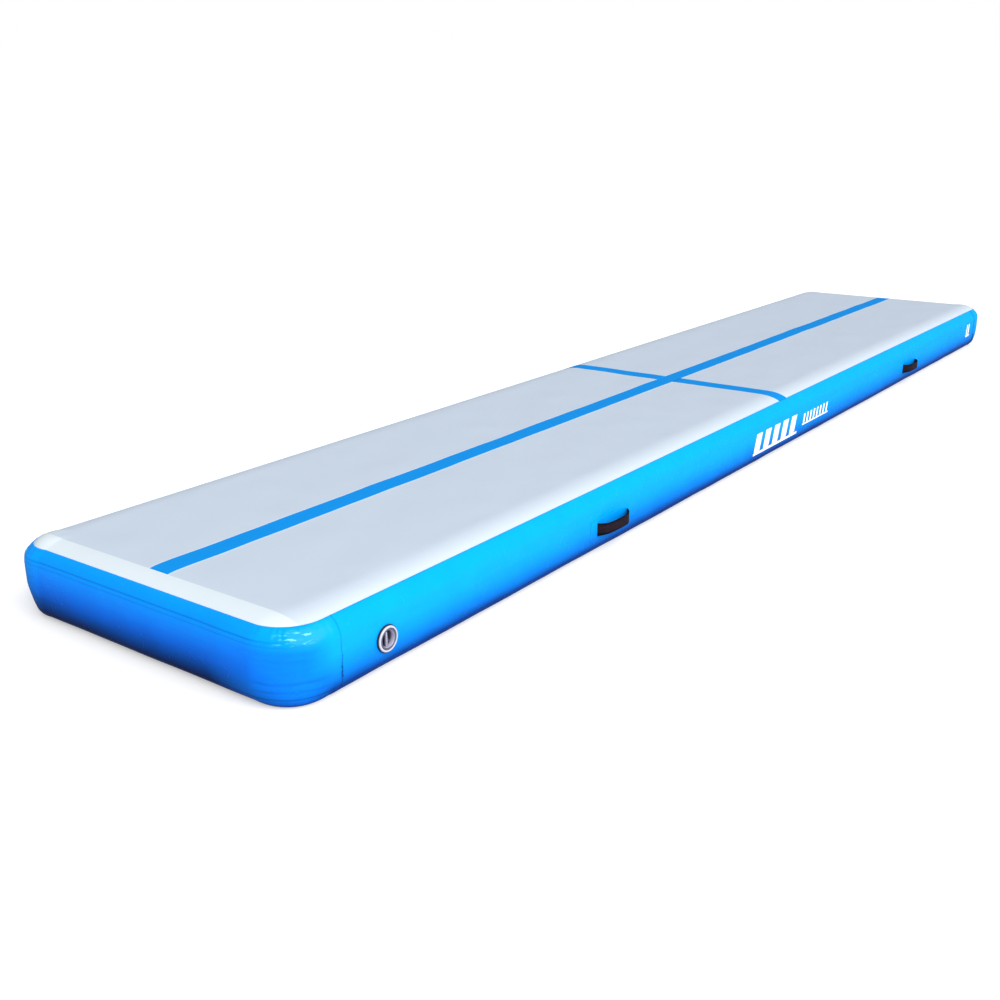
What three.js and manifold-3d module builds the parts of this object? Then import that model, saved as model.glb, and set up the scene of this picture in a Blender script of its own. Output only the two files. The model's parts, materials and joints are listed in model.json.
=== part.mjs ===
// Air track mat: a 5 m drop-stitch inflatable tumbling mat with a check valve and four carry straps.
// Millimetres. +X runs along the mat, -Y is the side with the valve, +Z is up, and the floor is at z = 0.
import * as THREE from 'three';
import { mergeVertices } from 'three/addons/utils/BufferGeometryUtils.js';
import Module from 'manifold-3d';

const wasm = await Module();
wasm.setup();

// ---- driving sizes ----
const LENGTH = 5000;
const WIDTH = 1000;
const THICKNESS = 200;
const CORNER_RADIUS = 130; // plan radius of the side wall at the four corners
const GAP = 0.3; // clearance left between two pieces that touch on the real mat

// ---- the rolled edge of the inflated body ----
const TOP_ROLL = { run: 115, rise: 70, power: 2.4, steps: 6 };
const BOTTOM_ROLL = { run: 50, rise: 60, power: 2.2, steps: 5 };

// ---- fabric layers, as depths below the outer skin ----
const SKIN = [0, 1.2]; // outer side wall and the two cover sheets
const BASE = [1.5, 2.7]; // the two sheets of the drop-stitch core, and the tapes behind the wall seams
const BAND = [3.0, 4.0]; // inner side band
const PRINT = [-0.9, -GAP]; // stripes and end tapes, which stand on the top cover sheet

// How far in from the wall each layer ends, measured along the face that it laps onto.
const TOP_LAP = 30; // outer side wall, on the top face
const BOTTOM_LAP = 45; // outer side wall, on the bottom face
const CORE_INSET = { top: 15, bottom: 8 }; // the core sheets stop short of the wall
const BAND_INSET = { top: 75, bottom: 48 }; // the inner band is welded onto both core sheets
const TAPE_INSET = { top: 8, bottom: 4 }; // tapes and patches behind the wall stay on its upright part
const SEAM_TAPE_REACH = 40; // how far a seam tape runs along the long wall
const SEAM_X = LENGTH / 2 - 140; // where the end walls meet the long side walls
const END_TAPE_X = LENGTH / 2 - 78; // inner edge of the white tape across each end
const STRIPE_HALF = 32; // half the width of a stripe on the top face
const YARN_ROWS = 7;
const YARN_PITCH = 115;
const YARN_THICKNESS = 0.8;
const YARN_END_GAP = 5; // the rows stop this far inside the flat of the top

const VALVE = { x: -2205, z: 84, rim: 31, barrel: 25, bore: 22, recess: 25.6, sides: 24 };
const HANDLE = { nearX: -1240, farX: 1330, z: 78, halfSpan: 82.5, bulge: 28, webbing: 1.6 };
const HANDLE_WIDTH = { middle: 30, end: 38 };

// ---- materials ----
const look = {
  topFace: () => material(0xcdd9eb, 0.55, 0),
  whiteTape: () => material(0xeef6ff, 0.3, 0),
  blueWall: () => material(0x00a5ff, 0.4, 0),
  blueTape: () => material(0x0a8fe8, 0.4, 0),
  coreFabric: () => material(0xdadde2, 0.8, 0),
  yarn: () => material(0xf2f2ee, 0.9, 0),
  webbing: () => material(0x241a1c, 0.8, 0),
  valvePlastic: () => material(0xd9dbe6, 0.35, 0),
  blackRubber: () => material(0x1b1c20, 0.7, 0),
  steel: () => material(0xb8bcc2, 0.3, 1),
  whitePrint: () => material(0xffffff, 0.5, 0),
};

function material(color, roughness, metalness) {
  return new THREE.MeshStandardMaterial({ color, roughness, metalness });
}

const airTrackMat = new THREE.Group();
airTrackMat.name = 'air_track_mat';

function addPiece(name, geometry, surface, parent = airTrackMat) {
  const mesh = new THREE.Mesh(geometry, surface);
  mesh.name = name;
  parent.add(mesh);
  return mesh;
}

// ---- closed solids ----

// Merges shared corners and turns the faces outwards.
function closed(geometry) {
  const bare = geometry.index ? geometry.toNonIndexed() : geometry.clone();
  for (const name of Object.keys(bare.attributes)) {
    if (name !== 'position') bare.deleteAttribute(name);
  }
  const merged = mergeVertices(bare, 1e-4);
  const kept = [];
  const index = merged.index.array;
  for (let i = 0; i < index.length; i += 3) {
    const [a, b, c] = [index[i], index[i + 1], index[i + 2]];
    if (a !== b && b !== c && a !== c) kept.push(a, b, c);
  }
  if (signedVolume(merged.attributes.position, kept) < 0) kept.reverse();
  merged.setIndex(kept);
  merged.computeVertexNormals();
  return merged;
}

function signedVolume(position, index) {
  const [a, b, c] = [new THREE.Vector3(), new THREE.Vector3(), new THREE.Vector3()];
  let total = 0;
  for (let i = 0; i < index.length; i += 3) {
    a.fromBufferAttribute(position, index[i]);
    b.fromBufferAttribute(position, index[i + 1]);
    c.fromBufferAttribute(position, index[i + 2]);
    total += a.dot(b.cross(c)) / 6;
  }
  return total;
}

function toSolid(geometry) {
  const ready = closed(geometry);
  return new wasm.Manifold(new wasm.Mesh({
    numProp: 3,
    vertProperties: new Float32Array(ready.attributes.position.array),
    triVerts: new Uint32Array(ready.index.array),
  }));
}

function fromSolid(solid) {
  const mesh = solid.getMesh();
  const geometry = new THREE.BufferGeometry();
  geometry.setAttribute('position', new THREE.BufferAttribute(mesh.vertProperties, 3));
  geometry.setIndex(Array.from(mesh.triVerts));
  return closed(geometry);
}

// Joins equal rings of points into a skin. Open ends get the caller's cap triangles, or a fan.
function loft(rings, { looped = false, cap = null } = {}) {
  const count = rings[0].length;
  const positions = rings.flat().flatMap((point) => [point.x, point.y, point.z]);
  const index = [];
  const last = looped ? rings.length : rings.length - 1;
  for (let ring = 0; ring < last; ring += 1) {
    const next = (ring + 1) % rings.length;
    for (let i = 0; i < count; i += 1) {
      const j = (i + 1) % count;
      const corners = [ring * count + i, ring * count + j, next * count + j, next * count + i];
      index.push(corners[0], corners[1], corners[2], corners[0], corners[2], corners[3]);
    }
  }
  if (!looped) {
    const faces = cap ?? Array.from({ length: count - 2 }, (_, i) => [0, i + 1, i + 2]);
    const base = (rings.length - 1) * count;
    for (const [a, b, c] of faces) index.push(c, b, a, base + a, base + b, base + c);
  }
  const geometry = new THREE.BufferGeometry();
  geometry.setAttribute('position', new THREE.Float32BufferAttribute(positions, 3));
  geometry.setIndex(index);
  return closed(geometry);
}

// Triangles that fill an outline, wound the same way round as the outline.
function capTriangles(outline) {
  const { area, triangulateShape } = THREE.ShapeUtils;
  const turn = Math.sign(area(outline));
  return triangulateShape(outline, []).map((face) => {
    const sameWay = Math.sign(area(face.map((i) => outline[i]))) === turn;
    return sameWay ? face : [...face].reverse();
  });
}

function boxBetween(low, high) {
  const size = high.map((value, i) => value - low[i]);
  const centre = high.map((value, i) => (value + low[i]) / 2);
  return new THREE.BoxGeometry(...size).translate(...centre);
}

// A solid of revolution about +Y from points given as [radius, y].
function turned(points, sides = VALVE.sides) {
  const outline = [...points, points[0]].map(([radius, y]) => new THREE.Vector2(radius, y));
  return closed(new THREE.LatheGeometry(outline, sides));
}

// A flat ring about +Y.
function washer(innerRadius, outerRadius, yLow, yHigh, sides = VALVE.sides) {
  const section = [[innerRadius, yLow], [outerRadius, yLow], [outerRadius, yHigh], [innerRadius, yHigh]];
  return turned(section, sides);
}

// A disc or rod about +Y.
function disc(radius, yLow, yHigh, sides = VALVE.sides) {
  const rod = new THREE.CylinderGeometry(radius, radius, yHigh - yLow, sides);
  return closed(rod.translate(0, (yLow + yHigh) / 2, 0));
}

// ---- the edge profile: one outline from the top face, down the wall, to the bottom face ----

function rollPoint(roll, angle) {
  return {
    inset: roll.run * (1 - Math.cos(angle) ** (2 / roll.power)),
    rise: roll.rise * Math.sin(angle) ** (2 / roll.power),
  };
}

const edge = [];
for (let i = TOP_ROLL.steps; i >= 0; i -= 1) {
  const point = rollPoint(TOP_ROLL, (i / TOP_ROLL.steps) * (Math.PI / 2));
  edge.push(new THREE.Vector2(point.inset, THICKNESS - TOP_ROLL.rise + point.rise));
}
const WALL_TOP = edge.length - 1; // index of the point where the wall turns vertical
for (let i = 0; i <= BOTTOM_ROLL.steps; i += 1) {
  const point = rollPoint(BOTTOM_ROLL, (i / BOTTOM_ROLL.steps) * (Math.PI / 2));
  edge.push(new THREE.Vector2(point.inset, BOTTOM_ROLL.rise - point.rise));
}
const WALL_FOOT = WALL_TOP + 1;

// The edge outline moved inwards by a depth, with mitred corners so that the layers stay parallel.
function edgeAtDepth(depth) {
  const before = new THREE.Vector2(edge[0].x + 1, THICKNESS);
  const after = new THREE.Vector2(edge[edge.length - 1].x + 1, 0);
  return edge.map((point, i) => {
    const into = point.clone().sub(edge[i - 1] ?? before).normalize();
    const out = (edge[i + 1] ?? after).clone().sub(point).normalize();
    const inwardsBefore = new THREE.Vector2(-into.y, into.x);
    const inwardsAfter = new THREE.Vector2(-out.y, out.x);
    const mitre = inwardsBefore.clone().add(inwardsAfter).normalize();
    return point.clone().addScaledVector(mitre, depth / mitre.dot(inwardsBefore));
  });
}

// Place on the outline, as a fractional index, where it is this far in from the wall.
function placeAtInset(inset, onTop) {
  const [from, to] = onTop ? [0, WALL_TOP] : [WALL_FOOT, edge.length - 1];
  for (let i = from; i < to; i += 1) {
    const [a, b] = [edge[i].x, edge[i + 1].x];
    if ((inset - a) * (inset - b) <= 0) return i + (inset - a) / (b - a);
  }
  return onTop ? from : to;
}

// The stretch of one depth's outline between two places.
function chain(depth, from, to) {
  const outline = edgeAtDepth(depth);
  const at = (place) => {
    const i = Math.min(Math.floor(place), outline.length - 2);
    return outline[i].clone().lerp(outline[i + 1], place - i);
  };
  const points = [at(from)];
  for (let i = Math.floor(from) + 1; i < to; i += 1) points.push(outline[i].clone());
  points.push(at(to));
  return points;
}

// ---- the plan outline: places on the wall with their outward directions ----

const CORNER_STEPS = 6;

function cornerPlaces(signX, signY) {
  const places = [];
  for (let i = 0; i <= CORNER_STEPS; i += 1) {
    const angle = (i / CORNER_STEPS) * (Math.PI / 2);
    const out = new THREE.Vector2(signX * Math.sin(angle), signY * Math.cos(angle));
    const centre = new THREE.Vector2(LENGTH / 2 - CORNER_RADIUS, WIDTH / 2 - CORNER_RADIUS);
    centre.multiply(new THREE.Vector2(signX, signY));
    places.push({ at: centre.addScaledVector(out, CORNER_RADIUS), out });
  }
  return places; // from the long side round to the end
}

function sidePlace(x, signY) {
  return { at: new THREE.Vector2(x, signY * (WIDTH / 2)), out: new THREE.Vector2(0, signY) };
}

const wholeOutline = [
  ...cornerPlaces(-1, -1).reverse(),
  ...cornerPlaces(1, -1),
  ...cornerPlaces(1, 1).reverse(),
  ...cornerPlaces(-1, 1),
];

function onOutline(place, point) {
  const flat = place.at.clone().addScaledVector(place.out, -point.x);
  return new THREE.Vector3(flat.x, flat.y, point.y);
}

// A sheet with a flat middle and a rolled rim: out along one face to the rim and back along the other.
function rolledSheet([outerDepth, innerDepth], from, to) {
  const outerFace = chain(outerDepth, from, to);
  const innerFace = chain(innerDepth, from, to);
  const onTop = from < WALL_TOP;
  const points = onTop ? [...outerFace, ...innerFace.reverse()] : [...outerFace.reverse(), ...innerFace];
  return loft(points.map((point) => wholeOutline.map((place) => onOutline(place, point))));
}

// A band of constant section that follows some places of the plan outline.
function band([outerDepth, innerDepth], from, to, places, looped = false) {
  const section = [...chain(outerDepth, from, to), ...chain(innerDepth, from, to).reverse()];
  const cap = capTriangles(section);
  return loft(places.map((place) => section.map((point) => onOutline(place, point))), { looped, cap });
}

// ---- inflated body ----

const topLapPlace = placeAtInset(TOP_LAP, true);
const bottomLapPlace = placeAtInset(BOTTOM_LAP, false);
const TOP_START = 0;
const BOTTOM_END = edge.length - 1;

function buildSheets() {
  const onTop = (layer, inset) => rolledSheet(layer, TOP_START, placeAtInset(inset, true));
  const underneath = (layer, inset) => rolledSheet(layer, placeAtInset(inset, false), BOTTOM_END);
  addPiece('top_cover_sheet', onTop(SKIN, TOP_LAP + GAP), look.topFace());
  addPiece('top_core_sheet', onTop(BASE, CORE_INSET.top), look.coreFabric());
  addPiece('bottom_core_sheet', underneath(BASE, CORE_INSET.bottom), look.coreFabric());
  addPiece('bottom_cover_sheet', underneath(SKIN, BOTTOM_LAP + GAP), look.blueWall());
}

// Each row of yarns tying the two core sheets together is one thin upright panel.
function buildYarns() {
  const length = LENGTH - 2 * (TOP_ROLL.run + YARN_END_GAP);
  const height = THICKNESS - 2 * (BASE[1] + GAP);
  for (let row = 0; row < YARN_ROWS; row += 1) {
    const y = (row - (YARN_ROWS - 1) / 2) * YARN_PITCH;
    const sheet = closed(new THREE.BoxGeometry(length, YARN_THICKNESS, height));
    addPiece(`drop_stitch_yarn_row_${row + 1}`, sheet, look.yarn()).position.set(0, y, THICKNESS / 2);
  }
}

function endPlaces(signX) {
  return [
    sidePlace(signX * SEAM_X, -1),
    ...cornerPlaces(signX, -1),
    ...cornerPlaces(signX, 1).reverse(),
    sidePlace(signX * SEAM_X, 1),
  ];
}

const VALVE_OPENING = VALVE.barrel + 1; // radius of the hole in each layer of the wall
const WALL_CUT_REACH = 30; // a cutter through the wall reaches this far to each side of it

function valveHole(radius) {
  return toSolid(disc(radius, -WALL_CUT_REACH, WALL_CUT_REACH).translate(VALVE.x, -WIDTH / 2, VALVE.z));
}

function buildWalls() {
  addPiece('near_end_wall', band(SKIN, topLapPlace, bottomLapPlace, endPlaces(-1)), look.blueWall());
  addPiece('far_end_wall', band(SKIN, topLapPlace, bottomLapPlace, endPlaces(1)), look.blueWall());
  const reach = SEAM_X - GAP;
  for (const [name, signY] of [['valve_side_wall', -1], ['plain_side_wall', 1]]) {
    const places = [sidePlace(-reach, signY), sidePlace(reach, signY)];
    const strip = band(SKIN, topLapPlace, bottomLapPlace, places);
    const wall = signY < 0 ? fromSolid(toSolid(strip).subtract(valveHole(VALVE_OPENING))) : strip;
    addPiece(name, wall, look.blueWall());
  }
  const [from, to] = [placeAtInset(BAND_INSET.top, true), placeAtInset(BAND_INSET.bottom, false)];
  const liner = toSolid(band(BAND, from, to, wholeOutline, true)).subtract(valveHole(VALVE_OPENING));
  addPiece('inner_side_band', fromSolid(liner), look.coreFabric());
}

function tapeBand(places) {
  return band(BASE, placeAtInset(TAPE_INSET.top, true), placeAtInset(TAPE_INSET.bottom, false), places);
}

// The doubler behind the wall round the valve, which follows the wall's lower curve.
function buildValvePatch() {
  const radius = VALVE.rim + 13;
  const sides = [-1, 1].map((sign) => sidePlace(VALVE.x + sign * 1.2 * radius, -1));
  const strip = toSolid(tapeBand(sides));
  const patch = strip.intersect(valveHole(radius)).subtract(valveHole(VALVE_OPENING));
  addPiece('valve_wall_patch', fromSolid(patch), look.blueTape());
}

// A tape behind each upright seam of the wall, reaching round the start of the corner.
function buildSeamTapes() {
  for (const [end, signX] of [['near', -1], ['far', 1]]) {
    for (const [side, signY] of [['valve', -1], ['plain', 1]]) {
      const [tangent, turn] = cornerPlaces(signX, signY);
      const tape = tapeBand([turn, tangent, sidePlace(signX * (SEAM_X - SEAM_TAPE_REACH), signY)]);
      addPiece(`${end}_${side}_side_seam_tape`, tape, look.blueTape());
    }
  }
}

// ---- tapes and stripes on the top face ----

function topPrint(lowX, highX, lowY, highY) {
  const skin = toSolid(rolledSheet(PRINT, TOP_START, placeAtInset(TOP_LAP + GAP, true)));
  const cutter = toSolid(boxBetween([lowX, lowY, THICKNESS / 2], [highX, highY, 1.5 * THICKNESS]));
  return fromSolid(skin.intersect(cutter));
}

function buildTopMarkings() {
  const beyondX = LENGTH; // clear past the end of the mat
  const beyondY = WIDTH;
  const clear = STRIPE_HALF + GAP;
  const stop = END_TAPE_X - GAP;
  addPiece('near_end_tape', topPrint(-beyondX, -END_TAPE_X, -beyondY, beyondY), look.whiteTape());
  addPiece('far_end_tape', topPrint(END_TAPE_X, beyondX, -beyondY, beyondY), look.whiteTape());
  addPiece('centre_stripe', topPrint(-stop, stop, -STRIPE_HALF, STRIPE_HALF), look.blueTape());
  addPiece('cross_stripe_valve_side', topPrint(-STRIPE_HALF, STRIPE_HALF, -beyondY, -clear), look.blueTape());
  addPiece('cross_stripe_plain_side', topPrint(-STRIPE_HALF, STRIPE_HALF, clear, beyondY), look.blueTape());
}

const INK = 0.5; // thickness of the printed marks

// A generic printed mark on the valve side: slanted bars standing on one line.
function buildSidePrint(name, { lowX, highX, lowZ, highZ, bars, boldness }) {
  const pitch = (highX - lowX) / bars;
  const height = highZ - lowZ;
  const lineHeight = height * 0.12;
  const slant = pitch * 0.3;
  const barWidth = (pitch - slant) * boldness;
  const shape = new THREE.Shape();
  shape.moveTo(0, 0);
  shape.lineTo(bars * pitch, 0);
  shape.lineTo(bars * pitch, lineHeight);
  for (let bar = bars - 1; bar >= 0; bar -= 1) {
    const start = bar * pitch + (pitch - barWidth - slant) / 2;
    shape.lineTo(start + barWidth, lineHeight);
    shape.lineTo(start + barWidth + slant, height);
    shape.lineTo(start + slant, height);
    shape.lineTo(start, lineHeight);
  }
  shape.lineTo(0, lineHeight);
  const mark = new THREE.ExtrudeGeometry(shape, { depth: INK, bevelEnabled: false }).rotateX(Math.PI / 2);
  addPiece(name, closed(mark.translate(lowX, -WIDTH / 2 - GAP, lowZ)), look.whitePrint());
}

function buildSidePrints() {
  buildSidePrint('side_print_bold', { lowX: -300, highX: 75, lowZ: 44, highZ: 118, bars: 5, boldness: 0.85 });
  buildSidePrint('side_print_fine', { lowX: 125, highX: 375, lowZ: 64, highZ: 106, bars: 8, boldness: 0.55 });
  buildSidePrint('side_print_end', { lowX: 2215, highX: 2275, lowZ: 70, highZ: 130, bars: 2, boldness: 0.6 });
}

// ---- carry straps ----

// Middle line of the webbing in plan, as [distance along the wall, distance out from the wall].
const strapLine = new THREE.CatmullRomCurve3(
  [[0, 0], [0.06, 0.2], [0.19, 0.6], [0.47, 0.92], [1, 1], [1.53, 0.92], [1.81, 0.6], [1.94, 0.2], [2, 0]]
    .map(([along, out]) => new THREE.Vector3((along - 1) * HANDLE.halfSpan, out * HANDLE.bulge, 0)),
  false,
  'centripetal',
);

const WEBBING_AT_WALL = GAP + HANDLE.webbing / 2;

function strapRing(share) {
  const point = strapLine.getPoint(share);
  const tangent = strapLine.getTangent(share);
  const toEnd = Math.min(1, Math.abs(share - 0.5) * 2);
  const flare = toEnd ** 6; // the webbing widens only close to its ends
  const height = HANDLE_WIDTH.middle + (HANDLE_WIDTH.end - HANDLE_WIDTH.middle) * flare;
  return webbingRing(point.x, point.y + WEBBING_AT_WALL, tangent, height);
}

function webbingRing(x, out, tangent, height) {
  const half = HANDLE.webbing / 2;
  const [across, along] = [tangent.y * half, tangent.x * half];
  return [
    new THREE.Vector3(x - across, out + along, -height / 2),
    new THREE.Vector3(x - across, out + along, height / 2),
    new THREE.Vector3(x + across, out - along, height / 2),
    new THREE.Vector3(x + across, out - along, -height / 2),
  ];
}

function shares(from, to, steps) {
  return Array.from({ length: steps + 1 }, (_, i) => from + ((to - from) * i) / steps);
}

const STRAP_SPLIT = 0.22; // share of the webbing at each end that bends while the middle swings
const SPLIT_GAP = 0.003; // share of the webbing left open on the middle's side of each split
const TAB_LENGTH = 24; // flat end of the webbing, held under the patch
const TAB_BEND = 2; // where the webbing leaves the wall

function strapEnd(signX) {
  const straight = new THREE.Vector3(1, 0, 0);
  const flat = webbingRing(-HANDLE.halfSpan - TAB_LENGTH, WEBBING_AT_WALL, straight, HANDLE_WIDTH.end);
  const root = webbingRing(-HANDLE.halfSpan - TAB_BEND, WEBBING_AT_WALL, straight, HANDLE_WIDTH.end);
  const rings = [flat, root, ...shares(0.02, STRAP_SPLIT, 4).map(strapRing)];
  const geometry = loft(rings);
  return signX < 0 ? geometry : closed(geometry.scale(-1, 1, 1));
}

function roundedRectangle(halfX, halfZ, radius, y) {
  const points = [];
  for (const [signX, signZ, start] of [[1, 1, 0], [-1, 1, 90], [-1, -1, 180], [1, -1, 270]]) {
    for (let i = 0; i <= 3; i += 1) {
      const angle = ((start + i * 30) * Math.PI) / 180;
      const [cx, cz] = [signX * (halfX - radius), signZ * (halfZ - radius)];
      points.push(new THREE.Vector3(cx + radius * Math.cos(angle), y, cz + radius * Math.sin(angle)));
    }
  }
  return points;
}

const PATCH = {
  halfLength: HANDLE.halfSpan + 34,
  halfHeight: 29,
  sheet: 0.8, // thickness of the patch cloth
  padHalf: 17, // half the length of the raised pad at each end
  railHalf: 3, // half the height of the strips that join the two pads
  edgeRadius: 8,
  slope: 2.5, // how far a pad's side leans in
};

// The patch welded on the wall: a thin plate with a raised pad over each end of the webbing.
function handlePatch() {
  const { halfLength, halfHeight, sheet, padHalf, railHalf, edgeRadius, slope } = PATCH;
  const pocketTop = GAP + HANDLE.webbing + 2 * GAP;
  const railZ = halfHeight - 1.5 * railHalf;
  const pad = (signX) => toSolid(loft([
    roundedRectangle(padHalf, halfHeight, edgeRadius, GAP),
    roundedRectangle(padHalf, halfHeight, edgeRadius, GAP + sheet),
    roundedRectangle(padHalf - slope, halfHeight - slope, edgeRadius - slope, pocketTop + 1.5 * sheet),
  ])).translate([signX * (halfLength - padHalf), 0, 0]);
  const pocketIn = HANDLE.halfSpan + TAB_LENGTH + GAP;
  const pocket = toSolid(boxBetween(
    [-pocketIn, -1, -HANDLE_WIDTH.end / 2 - GAP],
    [pocketIn, pocketTop, HANDLE_WIDTH.end / 2 + GAP],
  ));
  const rail = (signZ) => toSolid(boxBetween(
    [-halfLength + 1.2 * padHalf, GAP, signZ * railZ - railHalf],
    [halfLength - 1.2 * padHalf, GAP + sheet, signZ * railZ + railHalf],
  ));
  return fromSolid(pad(-1).add(pad(1)).add(rail(-1)).add(rail(1)).subtract(pocket));
}

function buildHandle(label, x, signY) {
  const place = new THREE.Group();
  place.position.set(x, signY * (WIDTH / 2), HANDLE.z);
  place.rotation.z = signY < 0 ? Math.PI : 0;
  airTrackMat.add(place);
  const endNames = signY < 0 ? ['far', 'near'] : ['near', 'far'];
  addPiece(`${label}_handle_patch`, handlePatch(), look.blueTape(), place);
  const middle = shares(STRAP_SPLIT + SPLIT_GAP, 1 - STRAP_SPLIT - SPLIT_GAP, 14).map(strapRing);
  addPiece(`${label}_handle_strap`, loft(middle), look.webbing(), place);
  addPiece(`${label}_handle_${endNames[0]}_strap_end`, strapEnd(-1), look.webbing(), place);
  addPiece(`${label}_handle_${endNames[1]}_strap_end`, strapEnd(1), look.webbing(), place);
}

function buildHandles() {
  buildHandle('valve_side_near', HANDLE.nearX, -1);
  buildHandle('valve_side_far', HANDLE.farX, -1);
  buildHandle('plain_side_near', HANDLE.nearX, 1);
  buildHandle('plain_side_far', HANDLE.farX, 1);
}

// ---- inflation valve, turned about +Y, with y = 0 at the wall's outer face and -y outwards ----

const SPIDER = { low: 27, high: 31, hub: 5, bore: 2.4, armHalf: 1.3 }; // carries the plunger in the barrel
const SEAT_Y = 41; // inner end of the barrel, where the plunger seals
const PLUNGER_RADIUS = 2.1;

function valveBody() {
  const { rim, barrel, bore, recess } = VALVE;
  const shell = turned([
    [bore, SEAT_Y - 3], [bore, -1], [bore + 0.6, -3], [recess, -3], [recess + 0.2, -7.4],
    [recess + 1, -8], [rim - 2, -8], [rim, -5.5], [rim, -2.1], [barrel, -2.1], [barrel, SEAT_Y], [bore - 2, SEAT_Y], [bore - 2.6, SEAT_Y - 3],
  ]);
  let body = toSolid(shell).add(toSolid(washer(SPIDER.bore, SPIDER.hub, SPIDER.low, SPIDER.high, 12)));
  for (let arm = 0; arm < 3; arm += 1) {
    const [inner, outer] = [0.7 * SPIDER.hub, bore + 1];
    const bar = boxBetween([inner, SPIDER.low, -SPIDER.armHalf], [outer, SPIDER.high, SPIDER.armHalf]);
    body = body.add(toSolid(bar.rotateY((arm * 2 * Math.PI) / 3)));
  }
  return fromSolid(body);
}

// The ring nut that clamps the wall from inside, with six grip notches.
function innerNut() {
  const face = BAND[1] + 1.2; // clear of the band where the wall starts to curve under
  const [radius, height, notches] = [VALVE.rim + 1, 6, 6];
  let nut = toSolid(washer(VALVE.barrel + GAP, radius, face, face + height));
  for (let i = 0; i < notches; i += 1) {
    const notch = disc(height / 2, 0, face + 2 * height, 8).translate(radius + 1, 0, 0);
    nut = nut.subtract(toSolid(notch.rotateY((i * 2 * Math.PI) / notches)));
  }
  return fromSolid(nut);
}

// A dished cap: rim, steep side, deep floor and an upright grip fin across it.
function valveCap() {
  const floor = 8; // y of the dish floor
  const outer = VALVE.bore - 0.7; // the dish drops into the bore
  const inner = outer - 1.7;
  const edge = VALVE.recess - 0.6; // the rim lies in the recess of the body
  const dish = turned([
    [0, floor], [inner - 1.4, floor], [inner - 0.2, floor - 1.2], [inner, -4.6], [inner + 1.4, -6.6],
    [inner + 2.4, -7.3], [edge - 0.6, -7.3], [edge, -6.6], [edge, -4.8], [outer + 0.3, -4.8], [outer, -4.2],
    [outer, floor + 1.5], [0, floor + 1.5],
  ]);
  const fin = boxBetween([-2, -2, -inner + 0.3], [2, floor + 0.5, inner - 0.3]);
  return fromSolid(toSolid(dish).add(toSolid(fin)));
}

function coilSpring(low, high, { radius, wire, turns }) {
  class Coil extends THREE.Curve {
    getPoint(share, target = new THREE.Vector3()) {
      const angle = share * turns * 2 * Math.PI;
      return target.set(radius * Math.cos(angle), low + (high - low) * share, radius * Math.sin(angle));
    }
  }
  const section = new THREE.Shape();
  section.absarc(0, 0, wire / 2, 0, 2 * Math.PI, false);
  return closed(new THREE.ExtrudeGeometry(section, {
    steps: turns * 10, curveSegments: 5, bevelEnabled: false, extrudePath: new Coil(),
  }));
}

function sealRing(radius, section, y) {
  return closed(new THREE.TorusGeometry(radius, section, 6, 20).rotateX(Math.PI / 2).translate(0, y, 0));
}

function buildValve() {
  const valve = new THREE.Group();
  valve.position.set(VALVE.x, -WIDTH / 2, VALVE.z);
  airTrackMat.add(valve);
  const [buttonLow, buttonHigh] = [10.6, 14.6];
  const washerHigh = buttonHigh + GAP + 0.8;
  const sealLow = SEAT_Y + GAP;
  const sealHigh = sealLow + 1.6;
  const plateLow = sealHigh + 2 * GAP;
  const onStem = PLUNGER_RADIUS + GAP; // bore of a ring that the stem passes through
  const spring = { radius: 4.2, wire: 0.9, turns: 4, clear: 0.8 };
  addPiece('valve_body', valveBody(), look.valvePlastic(), valve);
  addPiece('valve_gasket', washer(VALVE.barrel + 1.5, VALVE.rim + 2, -1.8, -GAP), look.blackRubber(), valve);
  addPiece('valve_inner_nut', innerNut(), look.valvePlastic(), valve);
  addPiece('valve_button', disc(7, buttonLow, buttonHigh), look.blackRubber(), valve);
  const springWasher = washer(onStem, 6.6, buttonHigh + GAP, washerHigh, 16);
  addPiece('valve_spring_washer', springWasher, look.steel(), valve);
  const coil = coilSpring(washerHigh + spring.clear, SPIDER.low - spring.clear, spring);
  addPiece('valve_spring', coil, look.steel(), valve);
  const stem = disc(PLUNGER_RADIUS, buttonHigh + GAP, sealHigh + GAP, 12);
  addPiece('valve_stem', stem, look.valvePlastic(), valve);
  addPiece('valve_seal_disc', washer(onStem, VALVE.bore - 0.4, sealLow, sealHigh), look.blackRubber(), valve);
  addPiece('valve_seal_plate', disc(VALVE.bore - 2, plateLow, plateLow + 2), look.valvePlastic(), valve);
  addPiece('valve_cap', valveCap(), look.valvePlastic(), valve);
  addPiece('valve_cap_seal_ring', sealRing(VALVE.recess - 1.7, 0.6, -3.9), look.blackRubber(), valve);
}

buildSheets();
buildYarns();
buildWalls();
buildValvePatch();
buildSeamTapes();
buildTopMarkings();
buildSidePrints();
buildHandles();
buildValve();

export default airTrackMat;
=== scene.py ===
"""Looks for the air track mat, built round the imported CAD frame. Metres, in the row frame."""
import json
import math
import bmesh
import bpy
import numpy as np
from mathutils import Matrix, Vector


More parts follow.
